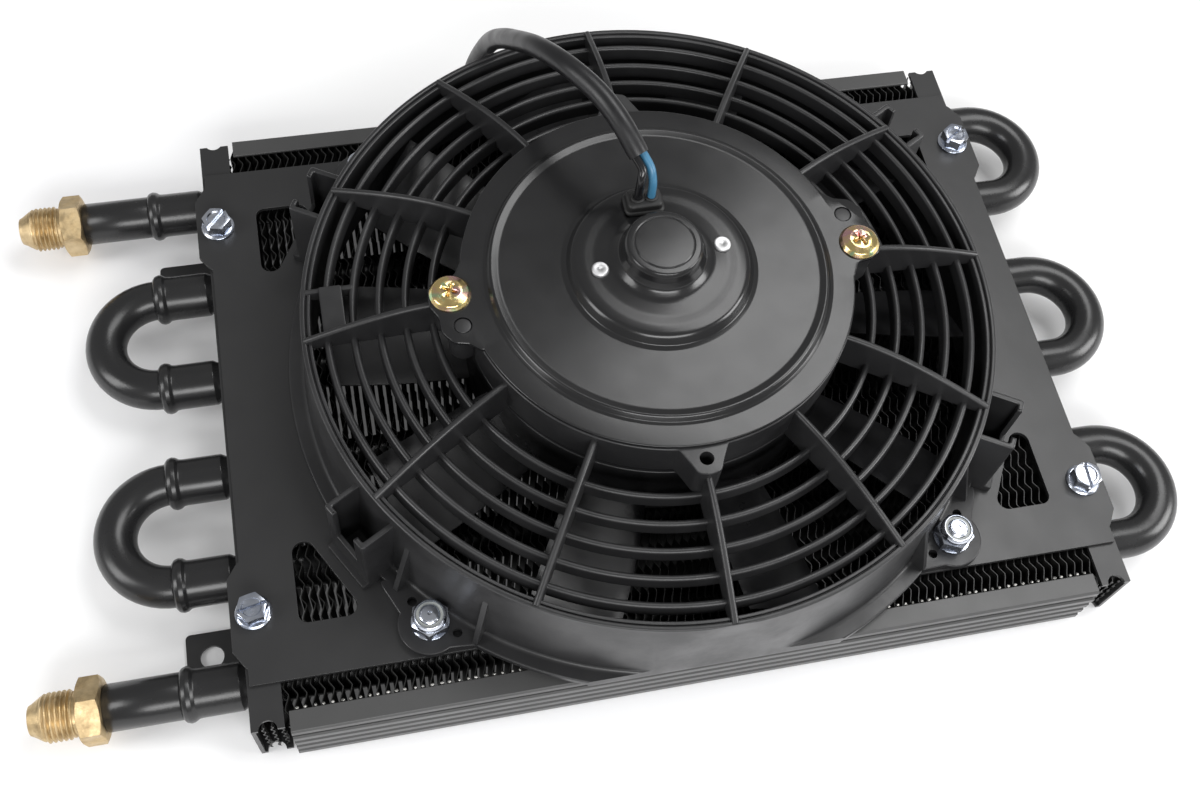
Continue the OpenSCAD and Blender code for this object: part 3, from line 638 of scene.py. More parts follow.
def bell_stations():
    """(x, radius) from the fins out to the mouth of a belled tube end."""
    bell = TUBE_R + 0.8
    outline = [
        (BELL_X, TUBE_R), (BELL_X - 1.4, bell), (MOUTH_X + 3.4, bell), (MOUTH_X + 2.2, bell + 0.1),
        (MOUTH_X + 1.2, 7.95), (MOUTH_X, 8.2), (MOUTH_X - 1.2, 7.8), (MOUTH_X - 1.9, 6.9),
    ]
    return rounded(outline, 1.0, 4, closed=False)


def hairpin(first):
    """Two passes with belled mouths, joined by a bend on the right."""
    y1, y2 = tube_y(first), tube_y(first + 1)
    bells = bell_stations()
    upper = [((p.x, y1, TUBE_Z), p.y) for p in reversed(bells)]
    lower = [((p.x, y2, TUBE_Z), p.y) for p in bells]
    middle = [(p, TUBE_R) for p in bend_points(HAIRPIN_X, (y1 + y2) / 2, 1)]
    run = upper + [((0, y1, TUBE_Z), TUBE_R)] + middle + [((0, y2, TUBE_Z), TUBE_R)] + lower
    return sweep([p for p, r in run], [r for p, r in run], TUBE_SIDES)


def return_bend(first):
    y1, y2 = tube_y(first), tube_y(first + 1)
    path = [(SOCKET_X, y1, TUBE_Z)] + bend_points(RETURN_X, (y1 + y2) / 2, -1)
    path += [(SOCKET_X, y2, TUBE_Z)]
    return sweep(path, [TUBE_R] * len(path), TUBE_SIDES)


def solder_ring(x, y):
    """Brazing fillet where a tube enters its socket."""
    ring = rounded([(TUBE_R - 0.3, -1.6), (7.0, -1.6), (TUBE_R - 0.3, 1.4)], 0.5)
    return moved(lathe(ring, 40), leftward(x - 1.6, y, TUBE_Z))


def add_tubes():
    pairs = (("hairpin_tube_rear", 0), ("hairpin_tube_middle", 2), ("hairpin_tube_front", 4))
    for node, first in pairs:
        piece = dress(make(node + "_skin", hairpin(first), sharp=60), "tube")
        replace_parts(piece, node)
    for node, first in (("return_bend_rear", 1), ("return_bend_front", 3)):
        rings = [solder_ring(MOUTH_X, tube_y(k)) for k in (first, first + 1)]
        piece = dress(make(node + "_skin", join(return_bend(first), *rings), sharp=60), "tube")
        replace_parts(piece, node)
    for node, k in (("inlet_stub_tube", 0), ("outlet_stub_tube", PASSES - 1)):
        stations = [(SOCKET_X, TUBE_R), (MOUTH_X - 0.6, TUBE_R), (MOUTH_X - 1.6, STUB_R),
                    (HEX_X + 0.6, STUB_R), (HEX_X + 0.1, TUBE_R), (STUB_END_X, TUBE_R)]
        path = [(x, tube_y(k), TUBE_Z) for x, r in stations]
        tube = sweep(path, [r for x, r in stations], TUBE_SIDES)
        shape = join(tube, solder_ring(MOUTH_X, tube_y(k)))
        piece = dress(make(node + "_skin", shape, sharp=60), "tube")
        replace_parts(piece, node)


FIN_COUNT = 103
FIN_PITCH = 2.54
FIN_LOW = 1.2
FIN_TOP = 22.4
FIN_HALF_W = 100
FIN_T = 0.26
# The zigzag along a fin: length, depth, the long flank's share, and how straight a flank is
WAVE = 6.4
WAVE_DEPTH = 0.66
LONG_FLANK = 0.64
STRAIGHTNESS = 0.82
# The ruffle up a fin's front and rear edges
EDGE_WAVE = 4.2
EDGE_DEPTH = 0.55
EDGE_ROWS = 20
# The row of painted glints along the front rail's lip: bright beads standing for light that shows
# through between the fins
GLINT_Y = -95.9


def fin_x(n):
    return (n - (FIN_COUNT - 1) / 2) * FIN_PITCH


def corrugation(y):
    """Sideways offset of a fin at y: a zigzag of one long and one short flank, with soft turns."""
    share = (y / WAVE) % 1
    if share < LONG_FLANK:
        slope = 2 * share / LONG_FLANK - 1
    else:
        slope = 1 - 2 * (share - LONG_FLANK) / (1 - LONG_FLANK)
    reach = 0.5 * math.pi * STRAIGHTNESS
    return WAVE_DEPTH * math.sin(reach * slope) / math.sin(reach)


def wave_places(n):
    """Places along fin n at and near each turn of its zigzag, and how far its zigzag is shifted."""
    out = []
    shift = 0.12 * math.sin(n * 1.7)
    first = math.floor(-FIN_HALF_W / WAVE) - 1
    for k in range(first, -first + 1):
        for share in (0, 0.05, 0.22, 0.42, 0.59, LONG_FLANK, 0.69, 0.82, 0.95):
            y = (k + share) * WAVE - shift
            if -FIN_HALF_W + 0.1 < y < FIN_HALF_W - 0.1:
                out.append(y)
    return sorted(out), shift


def strip(stations):
    """A thin upright strip through stations of (x, y, z) pairs: its foot and its head."""
    half = FIN_T / 2
    sections = []
    for foot, head in stations:
        sections.append([
            (foot[0] - half, foot[1], foot[2]), (head[0] - half, head[1], head[2]),
            (head[0] + half, head[1], head[2]), (foot[0] + half, foot[1], foot[2]),
        ])
    return loft(sections)


def add_fins():
    """All the fins, each one corrugated along its length, with ruffled front and rear edges."""
    shapes = []
    for n in range(FIN_COUNT):
        places, shift = wave_places(n)
        line = [(fin_x(n) + corrugation(y + shift), y) for y in places]
        shapes.append(strip([((x, y, FIN_LOW), (x, y, FIN_TOP)) for x, y in line]))
        for side, (root, y) in ((-1, line[0]), (1, line[-1])):
            stations = []
            for i in range(EDGE_ROWS + 1):
                z = FIN_LOW + (FIN_TOP - FIN_LOW) * i / EDGE_ROWS
                lean = EDGE_DEPTH * math.sin(2 * math.pi * (z + 0.3 * n) / EDGE_WAVE)
                stations.append(((root, y - side * 0.05, z), (root + lean, side * FIN_HALF_W, z)))
            shapes.append(strip(stations))
    piece = dress(make("corrugated_fins", join(*shapes), sharp=30), "fin")
    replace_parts(piece, "core_fin_pack")


def add_painted_glints():
    """Painted glints along the front rail's lip: one small bright metal bead by each fin, standing
    for light seen through between the fins.
    """
    bead = lathe([(0.0, -0.5), (0.3, -0.36), (0.5, 0.0), (0.36, 0.34), (0.0, 0.46)], 12)
    shapes = []
    for n in range(4, FIN_COUNT - 4):
        x = fin_x(n) + 0.25 * math.sin(n * 2.3)
        stretch = Matrix.Diagonal((1.2 + 0.22 * math.sin(n * 5.1), 1.15, 1.2, 1))
        shapes.append(moved(bead, Matrix.Translation((x, GLINT_Y, FIN_TOP + 0.25)) @ stretch))
    glints = dress(make("painted_rail_glints", join(*shapes), sharp=60), "painted_glint")


def add_frame():
    for node in ("end_plate_left", "end_plate_right", "fan_plate_left", "fan_plate_right"):
        dress(softened(node, 0.25), "plate")
    rail_x = 121.5
    outer = 103.5
    web = outer - 1.2
    inner = 101.4
    lip = 96.5
    top = 23.3
    outline = [
        (lip, 0), (web, 0), (web, top - 3), (outer - 0.5, top - 3), (outer - 0.5, top - 0.8),
        (outer - 1, top), (lip, top), (lip, 22.4), (inner, 22.4), (inner, 1.2), (lip, 1.2),
    ]
    outline = rounded(outline, [0.2, 0.3, 0.2, 0.2, 0.4, 0.4, 0.3, 0.2, 0.2, 0.2, 0.2], 3)
    rail = loft([[(x, p.x, p.y) for p in outline] for x in (-rail_x, rail_x)])
    shapes = [rail]
    ridge = [(101.8, 0), (103, 0), (outer, 0.5), (outer, 2.8), (103, 3.3), (101.8, 3.3)]
    ridge = rounded(ridge, [0, 0.2, 0.3, 0.3, 0.2, 0], 3)
    for i in range(4):
        z = 2 + 4.6 * i
        shapes.append(loft([[(x, p.x, p.y + z) for p in ridge] for x in (-rail_x, rail_x)]))
    for node, side in (("side_rail_front", -1), ("side_rail_rear", 1)):
        piece = fused(node + "_skin", [mirrored(s, 1, side) for s in shapes])
        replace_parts(dress(piece, "rail"), node)


add_tubes()
add_fins()
add_painted_glints()
add_frame()

# ---------------------------------------------------------------- fittings and fasteners

HEX_AF = 17.5
HEX_L = 6.8
THREAD_R = 7.14
THREAD_PITCH = 1.41
BORE_R = 3.8


def bevelled_hex(af, z0, z1, both):
    """A hexagon bar, and the turned shape to intersect it with, which bevels its corners."""
    corner = af / math.sqrt(3)
    slope = 0.62 * (corner - af / 2)
    wide, narrow = corner + 0.1, af / 2 - 0.2
    outline = [(0.0, z0), (wide, z0), (wide, z1 - slope), (narrow, z1), (0.0, z1)]
    if both:
        outline[1:2] = [(narrow, z0), (wide, z0 + slope)]
    return slab(hexagon(af), z0 - 0.01, z1 + 0.01, 0.01, 1), lathe(outline, 72)


def hex_piece(name, af, z0, z1, place, both=False):
    """A bevelled hexagon as its own object, at a place given as a matrix."""
    bar, turning = bevelled_hex(af, z0, z1, both)
    piece = make(name, moved(bar, place))
    return cut(piece, moved(turning, place), operation="INTERSECT")


def thread(major, pitch, length, depth):
    """A helical thread with V flanks that fades out at both ends, along Z."""
    around = 48
    per_turn = 10
    rows = int(length / pitch * per_turn)
    sections = []
    for i in range(rows + 1):
        z = length * i / rows
        fade = min(1, z / (0.8 * pitch), (length - z) / (0.8 * pitch))
        ring = []
        for k in range(around):
            phase = (z / pitch + k / around) % 1
            wave = abs(2 * phase - 1)
            crest = min(1, max(0, 1.35 * wave - 0.15))
            r = major - depth * (1 - crest * fade)
            a = 2 * math.pi * k / around
            ring.append((r * math.cos(a), r * math.sin(a), z))
        sections.append(ring)
    return loft(sections)


def add_fittings():
    for node, k in (("inlet_flare_fitting", 0), ("outlet_flare_fitting", PASSES - 1)):
        place = leftward(HEX_X, tube_y(k), TUBE_Z)
        piece = hex_piece(node + "_body", HEX_AF, 0, HEX_L, place, both=True)
        neck = [(0.0, 6), (THREAD_R - 0.9, 6), (THREAD_R - 0.9, 17), (0.0, 17)]
        nose = [(0.0, 16.4), (6.3, 16.4), (6.3, 17.2), (4.7, 19.6), (4.2, 20.6), (0.0, 20.6)]
        nose = rounded(nose, [0, 0.2, 0.3, 0.5, 0.3, 0], 3)
        screw = shifted(thread(THREAD_R, THREAD_PITCH, 8.9, 0.75), z=HEX_L + 1.3)
        for shape in (lathe(neck, 48), lathe(nose, 48), screw):
            cut(piece, moved(shape, place), operation="UNION")
        bore = rod(BORE_R, -2, 30, 0)
        socket = rod(TUBE_R + 0.03, -2, 3.3, 0)
        cut(piece, moved(bore, place), moved(socket, place))
        shade(piece.data, 32)
        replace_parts(dress(piece, "brass"), node)


def fastener_group(name, node, parts, finish):
    """Joins separate pieces into one object that stands for a node."""
    build = bmesh.new()
    for part in parts:
        build.from_mesh(part.data)
        bpy.data.objects.remove(part)
    mesh = bpy.data.meshes.new(name)
    build.to_mesh(mesh)
    build.free()
    shade(mesh, 32)
    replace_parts(dress(placed(name, mesh), finish), node)


PLATE_TOP = 25.0
FOOT_TOP = 27.8
SCREW_XY = (128.4, 67)
SCREW_AF = 8
STUD_XY = 79.4
STUD_Z = 23.6
NUT_AF = 10


def add_plate_screws():
    parts = []
    for (x, y), turn in zip(four_places(*SCREW_XY), (12, 50, 85, 33)):
        place = upright(x, y, PLATE_TOP, turn)
        piece = hex_piece("screw", SCREW_AF, 0.7, 5.2, place)
        washer = rounded([(0.0, 0), (5.3, 0), (5.3, 0.55), (4.6, 1.05), (0.0, 1.35)],
                         [0, 0.2, 0.3, 0.5, 0], 3)
        cut(piece, moved(lathe(washer, 48), place), moved(rod(2.4, -9, 1, 0.4), place),
            operation="UNION")
        dish = [(0.0, 4.75), (2.6, 4.75), (3.1, 5.4), (0.0, 5.4)]
        slot = slab([(-5, -0.6), (5, -0.6), (5, 0.6), (-5, 0.6)], 3.7, 6, 0.1, 1)
        cut(piece, moved(lathe(dish, 32), place), moved(slot, place))
        parts.append(piece)
    fastener_group("plate_screw_set", "plate_screws", parts, "zinc")


def add_stud_sets():
    studs, nuts, inserts = [], [], []
    for i, (x, y) in enumerate(four_places(STUD_XY, STUD_XY)):
        turn = 20 + 37 * i
        place = upright(x, y, STUD_Z, turn)
        stud = make("stud", moved(rod(4.6, -0.9, 0, 0.2), place))
        core = rod(2.45, -0.1, 12.6, 0.5, 40)
        screw = shifted(thread(2.95, 1.0, 9.4, 0.5), z=3)
        dimple = [(0.0, 12.2), (0.5, 12.3), (0.8, 13), (0.0, 13)]
        cut(stud, moved(rod(2.95, -0.1, 3.4, 0), place), moved(core, place), moved(screw, place),
            operation="UNION")
        cut(stud, moved(lathe(dimple, 24), place))
        studs.append(stud)
        place = upright(x, y, FOOT_TOP, turn)
        nut = hex_piece("nut", NUT_AF, 0, 5.1, place)
        collar = rounded([(0.0, 0.2), (5.55, 0.2), (5.55, 0.9), (4.9, 1.2), (4.9, 6.6), (4.3, 7.6),
                          (0.0, 7.6)], [0, 0.2, 0.2, 0.2, 0.8, 0.5, 0], 4)
        cut(nut, moved(lathe(collar, 56), place), operation="UNION")
        recess = [(0.0, 5), (3.98, 5), (3.98, 9), (0.0, 9)]
        cut(nut, moved(rod(2.98, -1, 9, 0), place), moved(lathe(recess, 40), place))
        nuts.append(nut)
        ring = rounded([(2.98, 5.02), (3.96, 5.02), (3.96, 7.0), (2.98, 7.0)], 0.25, 3)
        inserts.append(make("insert", moved(lathe(ring, 40), place)))
    fastener_group("shroud_stud_set", "shroud_studs", studs, "zinc")
    fastener_group("lock_nut_set", "shroud_lock_nuts", nuts, "zinc")
    fastener_group("lock_insert_set", "nut_inserts", inserts, "nylon")


add_fittings()
add_plate_screws()
add_stud_sets()

# ---------------------------------------------------------------- shroud

RING_R = 104.6
RING_TOP = 59.0
BASE_R = 111.2
SHROUD_Z = 25.0
TRIM_Y = 104.4
HUB_LOW = 60.3
MOTOR_Z = 73.1
BOSS_R = 61.2
FLANGE_R = 57.7
GRILLE_RINGS = 5
SPOKES = 12
BRACKET_TURNS = (30, 150, 210, 330)
# The two pegs beside the motor's screws
PEG_ANGLE = 10.2
PEG_REACH = 60.1


def shroud_wall():
    """Flared wall with its base flange and the grooved top ring."""
    outline = [
        (103.7, SHROUD_Z), (BASE_R, SHROUD_Z), (BASE_R, FOOT_TOP), (106.3, FOOT_TOP),
        (RING_R, RING_TOP - 2.4), (RING_R, RING_TOP), (103.2, RING_TOP), (102.9, RING_TOP - 1.2),
        (102.6, RING_TOP - 0.5), (101.6, RING_TOP - 0.5), (101.6, RING_TOP - 3),
    ]
    radii = [0.3, 0.6, 0.6, 1.6, 2, 0.9, 0.5, 0.2, 0.2, 0.5, 1.5]
    return lathe(rounded(outline, radii, 5), 240)


def trim_box():
    return slab([(-130, -TRIM_Y), (130, -TRIM_Y), (130, TRIM_Y), (-130, TRIM_Y)], 0, 90, 0.01, 1)


def rib_outline(width, top, low):
    """Upright rib in (side, z) with a half-round top and a slightly wider foot."""
    half = width / 2
    side = [(half + 0.12, low), (half, top - half)]
    arc = [(half * math.cos(math.pi * k / 8), top - half + half * math.sin(math.pi * k / 8))
           for k in range(1, 8)]
    return side + arc + [(-half, top - half), (-half - 0.12, low)]


def grille_ring(i):
    """Ring i of the grille. The inner ones stand a little higher."""
    r = 66.4 + 7.7 * i
    top = RING_TOP - 0.2 + 0.18 * (GRILLE_RINGS - 1 - i) ** 2
    outline = [(r + s, z) for s, z in rib_outline(2, top, top - 5)]
    return lathe(outline, 200)


def spoke():
    """Radial rib along +X whose top rises from the ring to the hub in a smooth curve."""
    start, end = 56.8, RING_R - 0.6
    low = RING_TOP - 3.3
    sections = []
    steps = 26
    for k in range(steps + 1):
        t = k / steps
        r = end - t * (end - start)
        s = min(1, t * (end - start) / (end - start - 2))
        top = RING_TOP + 0.6 + 11.8 * math.sin(math.pi / 2 * s)
        bottom = low + 2.4 * t
        sections.append([(r, side, z) for side, z in rib_outline(2, top, bottom)])
    return loft(sections)


def hub_boss():
    outline = [(56.2, -8), (59, -6.4), (62, -4.9), (65.4, -3.4), (66.2, 0), (65.4, 3.4), (62, 4.9),
               (59, 6.4), (56.2, 8)]
    return slab(rounded(outline, [0, 2, 2, 2.6, 2.6, 2.6, 2, 2, 0], 4), HUB_LOW, MOTOR_Z, 0.5)


def foot():
    """Corner foot for the quarter where X and Y are positive, with a round pad at its stud."""
    pad = [(STUD_XY + 9.4 * math.cos(a), STUD_XY + 9.4 * math.sin(a))
           for a in (math.radians(-28 + 146 * k / 20) for k in range(21))]
    outline = [(93.4, 62.4)] + pad + [(56, 88.8), (60, 84.5), (76, 71)]
    outline = rounded(outline, [2] + [0] * 21 + [2, 0, 0], 4)
    return slab(outline, SHROUD_Z, FOOT_TOP, 0.5, 3)


def gusset(turn):
    outline = rounded([(103.6, FOOT_TOP - 1), (111.2, FOOT_TOP - 1), (111.2, FOOT_TOP + 0.6),
                       (105, FOOT_TOP + 21), (103.6, FOOT_TOP + 22)], [0, 0, 0.6, 1.5, 0], 4)
    wall = loft([[(p.x, y, p.y) for p in outline] for y in (-0.8, 0.8)])
    return turned(wall, 45 + turn)


def box_shape(x0, x1, y0, y1, z0, z1, edge):
    outline = rounded([(x0, y0), (x1, y0), (x1, y1), (x0, y1)], min(edge * 1.4, 0.7), 3)
    return slab(outline, z0, z1, edge)


def bracket_parts():
    """Clip bracket on the wall along +X: two ribs with inward lips over a low outer wall."""
    reach, half, rib, lip = 115.2, 8.6, 1.7, 4
    top = RING_TOP - 4.2
    flange = box_shape(103.4, reach + 1.8, -half, half, SHROUD_Z, FOOT_TOP, 0.5)
    ribs = []
    for side in (1, -1):
        outline = [(103.4, half - rib), (reach - rib, half - rib), (reach - rib, half - lip),
                   (reach, half - lip), (reach, half), (103.4, half)]
        outline = rounded(outline, [0, 0.5, 0.3, 0.5, 1.1, 0], 3)
        ribs.append(mirrored(slab(outline, SHROUD_Z, top, 0.6, 3), 1, side))
    low_wall = box_shape(reach - rib, reach, -half + 0.5, half - 0.5, SHROUD_Z, SHROUD_Z + 14, 0.4)
    return [flange, low_wall] + ribs


def lead_guide():
    plate = box_shape(-98, -91.2, 0, 17, RING_TOP - 1, RING_TOP + 1.2, 0.5)
    bar = box_shape(-102.6, -87.8, 15.6, 17.4, RING_TOP - 4, RING_TOP + 0.1, 0.6)
    return [plate, bar]


def add_shroud():
    quarters = ((1, 1), (1, -1), (-1, 1), (-1, -1))
    shapes = [shroud_wall()]
    hub = rounded([(55.6, HUB_LOW), (58, HUB_LOW), (58, MOTOR_Z), (55.6, MOTOR_Z)],
                  [0.3, 0.5, 0.6, 0.3], 4)
    shapes += [grille_ring(i) for i in range(GRILLE_RINGS)] + [lathe(hub, 160)]
    shapes += [turned(spoke(), 360 / SPOKES * i) for i in range(SPOKES)]
    shapes += [turned(hub_boss(), turn) for turn in (0, 90, 180, 270)]
    post = shifted(rod(4, HUB_LOW + 2, MOTOR_Z), x=PEG_REACH)
    peg = shifted(rod(2.4, MOTOR_Z - 2, MOTOR_Z + 1.3, 0.4), x=PEG_REACH)
    for turn in (PEG_ANGLE, PEG_ANGLE + 180):
        shapes += [turned(post, turn), turned(peg, turn)]
    corner = [foot(), gusset(-7.3), gusset(7.3)]
    for x, y in quarters:
        shapes += [mirrored(s, x, y) for s in corner]
    for turn in BRACKET_TURNS:
        shapes += [turned(s, turn) for s in bracket_parts()]
    shapes += lead_guide()
    skirt = box_shape(-38, 38, TRIM_Y - 2.4, TRIM_Y, 23.5, SHROUD_Z + 1, 0.3)
    shapes += [skirt, mirrored(skirt, 1, -1)]
    piece = make("shroud_moulding", shapes[0])
    cut(piece, trim_box(), operation="INTERSECT")
    cut(piece, *shapes[1:], operation="UNION")
    holes = [turned(shifted(rod(2.05, HUB_LOW - 1, MOTOR_Z + 3, 0), x=BOSS_R), t)
             for t in (0, 90, 180, 270)]
    stud_hole = shifted(rod(3.1, SHROUD_Z - 1, FOOT_TOP + 1, 0), STUD_XY, STUD_XY)
    small_hole = shifted(rod(1.4, SHROUD_Z - 1, FOOT_TOP + 1, 0), 110.5)
    corner_holes = [stud_hole, turned(small_hole, 45 - 4.2), turned(small_hole, 45 + 4.2)]
    for x, y in quarters:
        holes += [mirrored(s, x, y) for s in corner_holes]
    cut(piece, *holes)
    shade(piece.data, 30)
    flatten_shading(piece)
    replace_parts(dress(piece, "shroud"), "fan_shroud")


add_shroud()

# ---------------------------------------------------------------- motor

COVER_Z = 74.5
RIVET = (18.4, 1.7)
GROMMET = (-1.6, 18.5)


def motor_profile():
    """Closed (r, z) outline of the pressed cover, from the boss out to the flange and back."""
    top = [
        (0.0, 87.8), (8.3, 87.8), (8.6, 87.55), (8.9, 87.8), (10.6, 87.7), (11.35, 86.6),
        (11.6, 84.4), (12.6, 82), (14.8, 80.35), (19.5, 79.8), (22.4, 79.8), (25.6, 79.45),
        (27.4, 76.8), (28.7, 76.3), (46.9, 75.8), (49.2, 76.4), (50.4, COVER_Z + 0.4),
        (51.2, COVER_Z), (FLANGE_R, COVER_Z),
    ]
    radii = [0, 0.2, 0.2, 0.2, 0.8, 0.8, 1.5, 2.5, 4, 12, 12, 2.5, 0.8, 1.0, 3, 0.9, 0.5, 0.5,
             0.45]
    under = [(FLANGE_R, MOTOR_Z), (49, MOTOR_Z), (47, 74.8), (26.2, 74.8), (25, 78.4), (12.5, 78.4),
             (7.03, 79.2), (7.03, 86.4), (0.0, 86.4)]
    return rounded(top + under, radii + [0.4] + [0] * 8, 5)


def motor_ear():
    """Flange ear round one screw and the peg beside it, on the +X side."""
    outline = [(50, -12), (56.5, -11.6), (59.2, -6.4), (63.4, -5.8), (67.2, -3.6), (67.6, 3.2),
               (65.4, 7.2), (65.2, 12.2), (62.4, 15.8), (58, 16.8), (55, 19.2), (50, 19)]
    radii = [0, 2, 2, 3, 3, 3, 3, 3, 3, 2, 2, 0]
    return slab(rounded(outline, radii, 5), MOTOR_Z, COVER_Z, 0.4, 3)


def add_motor():
    piece = make("motor_cover_shell", lathe(motor_profile(), 200))
    ear = motor_ear()
    cut(piece, ear, turned(ear, 180), operation="UNION")
    screw_hole = shifted(rod(2.25, 70, 78, 0), BOSS_R)
    peg_hole = shifted(rod(2.65, 70, 78, 0), PEG_REACH)
    for turn in (0, 180):
        cut(piece, turned(screw_hole, turn), turned(peg_hole, turn + PEG_ANGLE))
    slot = rounded([(-7.4, 14.7), (4.2, 14.7), (4.2, 22.3), (-7.4, 22.3)], 1.2, 4)
    cut(piece, slab(slot, 70, 90, 0.05, 1))
    shade(piece.data, 30)
    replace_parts(dress(piece, "motor"), "motor_cover")


def add_rivets():
    parts = []
    for side in (1, -1):
        head = rounded([(0.0, 79.6), (2.5, 79.6), (2.5, 80.6), (2.2, 81), (0.0, 81.1)],
                       [0, 0.1, 0.3, 0.3, 0], 4)
        stem = rod(1.5, 72.1, 79.8, 0.1)
        tail = rod(2.2, 72.1, 72.9, 0.2)
        dent = lathe([(0.0, 80.8), (0.5, 80.9), (0.8, 81.6), (0.0, 81.6)], 24)
        at = (side * RIVET[0], side * RIVET[1])
        parts.append(fused("rivet", [shifted(s, *at) for s in (lathe(head, 40), stem, tail)],
                           minus=[shifted(dent, *at)]))
    fastener_group("rivet_pair", "motor_rivets", parts, "aluminium")


def add_motor_screws():
    """Truss-head screws with a cross recess and a shallow domed head."""
    parts = []
    for side, turn in ((1, 20), (-1, 62)):
        place = upright(side * BOSS_R, 0, COVER_Z, turn)
        head = rounded([(0.0, 0), (6, 0), (6, 0.5), (5.2, 1.6), (3.4, 2.4), (0.0, 2.7)],
                       [0, 0.1, 0.4, 1, 1.5, 0], 5)
        solids = [lathe(head, 48), rod(2.0, -12, 0.5, 0.4)]
        wings = []
        for k in range(4):
            wing = loft([
                [(0, -w, z), (r, -w, z), (r, w, z), (0, w, z)]
                for z, r, w in ((0.6, 0.7, 0.3), (1.6, 1.9, 0.42), (3.2, 2.9, 0.62))
            ])
            wings.append(turned(shifted(wing, x=-0.05), 90 * k))
        piece = fused("screw", [moved(s, place) for s in solids],
                      minus=[moved(s, place) for s in wings])
        parts.append(piece)
    fastener_group("motor_screw_pair", "motor_screws", parts, "gold")


def add_grommet():
    """Rubber grommet with a lip over the cover's edge and a raised collar round each wire."""
    x, y = GROMMET
    lip = rounded([(-6, -4), (6, -4), (6, 4), (-6, 4)], 2.2, 5)
    body = rounded([(-5.2, -3.4), (5.2, -3.4), (5.2, 3.4), (-5.2, 3.4)], 1.8, 5)
    shapes = [slab(body, 76.6, 84.2, 0.9, 4), slab(lip, 80.4, 82, 0.7, 3)]
    collar = rounded([(0.0, 84), (2.2, 84), (2.0, 84.8), (0.0, 84.8)], [0, 0, 0.3, 0], 4)
    holes = []
    for side in (-2, 2):
        shapes.append(shifted(lathe(collar, 32), side))
        holes.append(shifted(rod(1.35, 80.5, 90, 0), side))
    piece = fused("wire_grommet_body", [shifted(s, x, y) for s in shapes],
                  minus=[shifted(s, x, y) for s in holes])
    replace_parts(dress(piece, "rubber"), "wire_grommet")


add_motor()
add_rivets()
add_motor_screws()
add_grommet()

# ---------------------------------------------------------------- impeller

HUB_R = 57.0
HUB_Z = 29.0
HUB_TOP = 56.0
BLADE_R = 98.0
BLADES = 10
HUB_RIBS = 6
FAN_ANGLE = 5.8
BLADE_LOW = 33.8
BLADE_HIGH = 48.8
BLADE_T = 1.6


def blade_point(r, t):
    """A place on a blade's lower skin: t runs from its low edge to its high edge."""
    low = -3.9 * (r - 60) / 34
    high = -21.3 + 1.5 * (r - 64) / 30
    a = math.radians(low + t * (high - low))
    z = BLADE_LOW + t * (BLADE_HIGH - BLADE_LOW) - 1.6 * math.sin(math.pi * t)
    return Vector((r * math.cos(a), r * math.sin(a), z))


def blade():
    """One blade: a cambered strip with rounded edges and a rounded tip."""
    cuts, across = 18, 14
    sections = []
    for i in range(cuts + 1):
        r = HUB_R - 0.8 + (BLADE_R - HUB_R + 0.8) * i / cuts
        thick = BLADE_T * (1 if i < cuts else 0.45)
        under = []
        over = []
        for j in range(across + 1):
            t = j / across
            edge = min(1.0, 0.35 + 9 * min(t, 1 - t))
            middle = blade_point(r, t) + Vector((0, 0, BLADE_T / 2))
            half = Vector((0, 0, thick * edge / 2))
            under.append(middle - half)
            over.append(middle + half)
        sections.append(under + over[::-1])
    return loft(sections)


def add_impeller():
    wall = 2.4
    cup = [(3.18, HUB_Z), (HUB_R - 1.5, HUB_Z), (HUB_R, HUB_Z + 1.5), (HUB_R, HUB_TOP),
           (HUB_R - wall, HUB_TOP), (HUB_R - wall, HUB_Z + wall), (9, HUB_Z + wall), (9, 34.6),
           (3.18, 34.6)]
    cup = rounded(cup, [0.2, 1.2, 1.2, 0.6, 0.6, 1.0, 0.8, 0.5, 0.2], 4)
    shapes = [lathe(cup, 160)]
    rib = box_shape(8, HUB_R - 1.2, -0.9, 0.9, HUB_Z + 1, HUB_Z + 4.4, 0.3)
    shapes += [turned(rib, 360 / HUB_RIBS * i) for i in range(HUB_RIBS)]
    shapes += [turned(blade(), FAN_ANGLE + 360 / BLADES * i) for i in range(BLADES)]
    piece = fused("impeller_moulding", shapes, ROTOR, 40)
    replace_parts(dress(piece, "fan"), "fan_impeller")


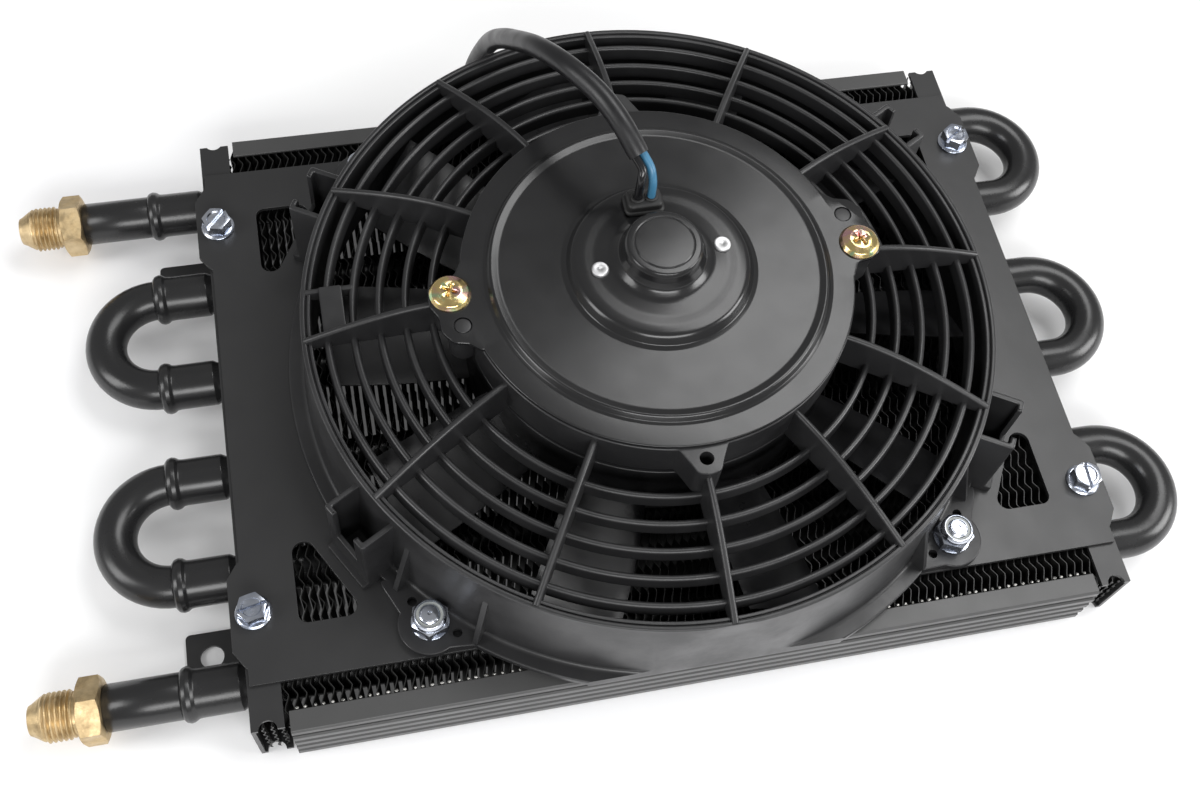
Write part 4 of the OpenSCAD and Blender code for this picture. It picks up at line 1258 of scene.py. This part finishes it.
add_impeller()

# ---------------------------------------------------------------- pieces inside, and the rest

KEPT = {
    "motor_can": "steel", "motor_magnets": "ferrite", "upper_bush": "bronze",
    "lower_bush": "bronze", "brush_card": "card", "brush_holders": "brass",
    "carbon_brushes": "carbon", "brush_springs": "steel", "motor_shaft": "steel",
    "armature_core": "dark_steel", "armature_windings": "copper", "commutator": "copper",
    "impeller_washer": "zinc", "impeller_nut": "zinc",
}
for node, finish in KEPT.items():
    dress(nodes[node], finish)

# ---------------------------------------------------------------- studio

FLOOR_HALF = 3.0
FLOOR_Z = -0.0002


def add_area(name, place, size, power, aim):
    data = bpy.data.lights.new(name, "AREA")
    data.shape = "RECTANGLE"
    data.size, data.size_y = size
    data.energy = power
    light = bpy.data.objects.new(name, data)
    bpy.context.scene.collection.objects.link(light)
    light.location = place
    light.rotation_euler = (Vector(aim) - Vector(place)).to_track_quat("-Z", "Y").to_euler()


def add_studio():
    mesh = bpy.data.meshes.new("studio_floor")
    corners = [(x, y, 0) for x, y in four_places(FLOOR_HALF, FLOOR_HALF)]
    mesh.from_pydata(corners, [], [(0, 2, 3, 1)])
    mesh.materials.append(floor_paint())
    floor = bpy.data.objects.new("studio_floor", mesh)
    floor.location = (0, 0, FLOOR_Z)
    bpy.context.scene.collection.objects.link(floor)
    world = bpy.data.worlds.new("studio_light")
    world.use_nodes = True
    sky = world.node_tree.nodes["Background"]
    sky.inputs["Color"].default_value = (1, 1, 1, 1)
    sky.inputs["Strength"].default_value = 0.32
    bpy.context.scene.world = world
    bpy.context.scene.view_settings.view_transform = "Standard"
    add_area("key_light", (0.5, 0.28, 1.12), (0.82, 0.5), 6.6, (0, 0, 0.02))
    add_area("right_light", (1.2, -0.35, 0.6), (0.6, 0.6), 10, (0, 0, 0.02))
    add_area("left_light", (-1.2, -0.2, 0.8), (0.5, 0.8), 8, (0, 0, 0.03))
    add_area("front_light", (0.0, -1.2, 0.9), (1.2, 0.5), 15, (0, 0, 0.03))


add_studio()
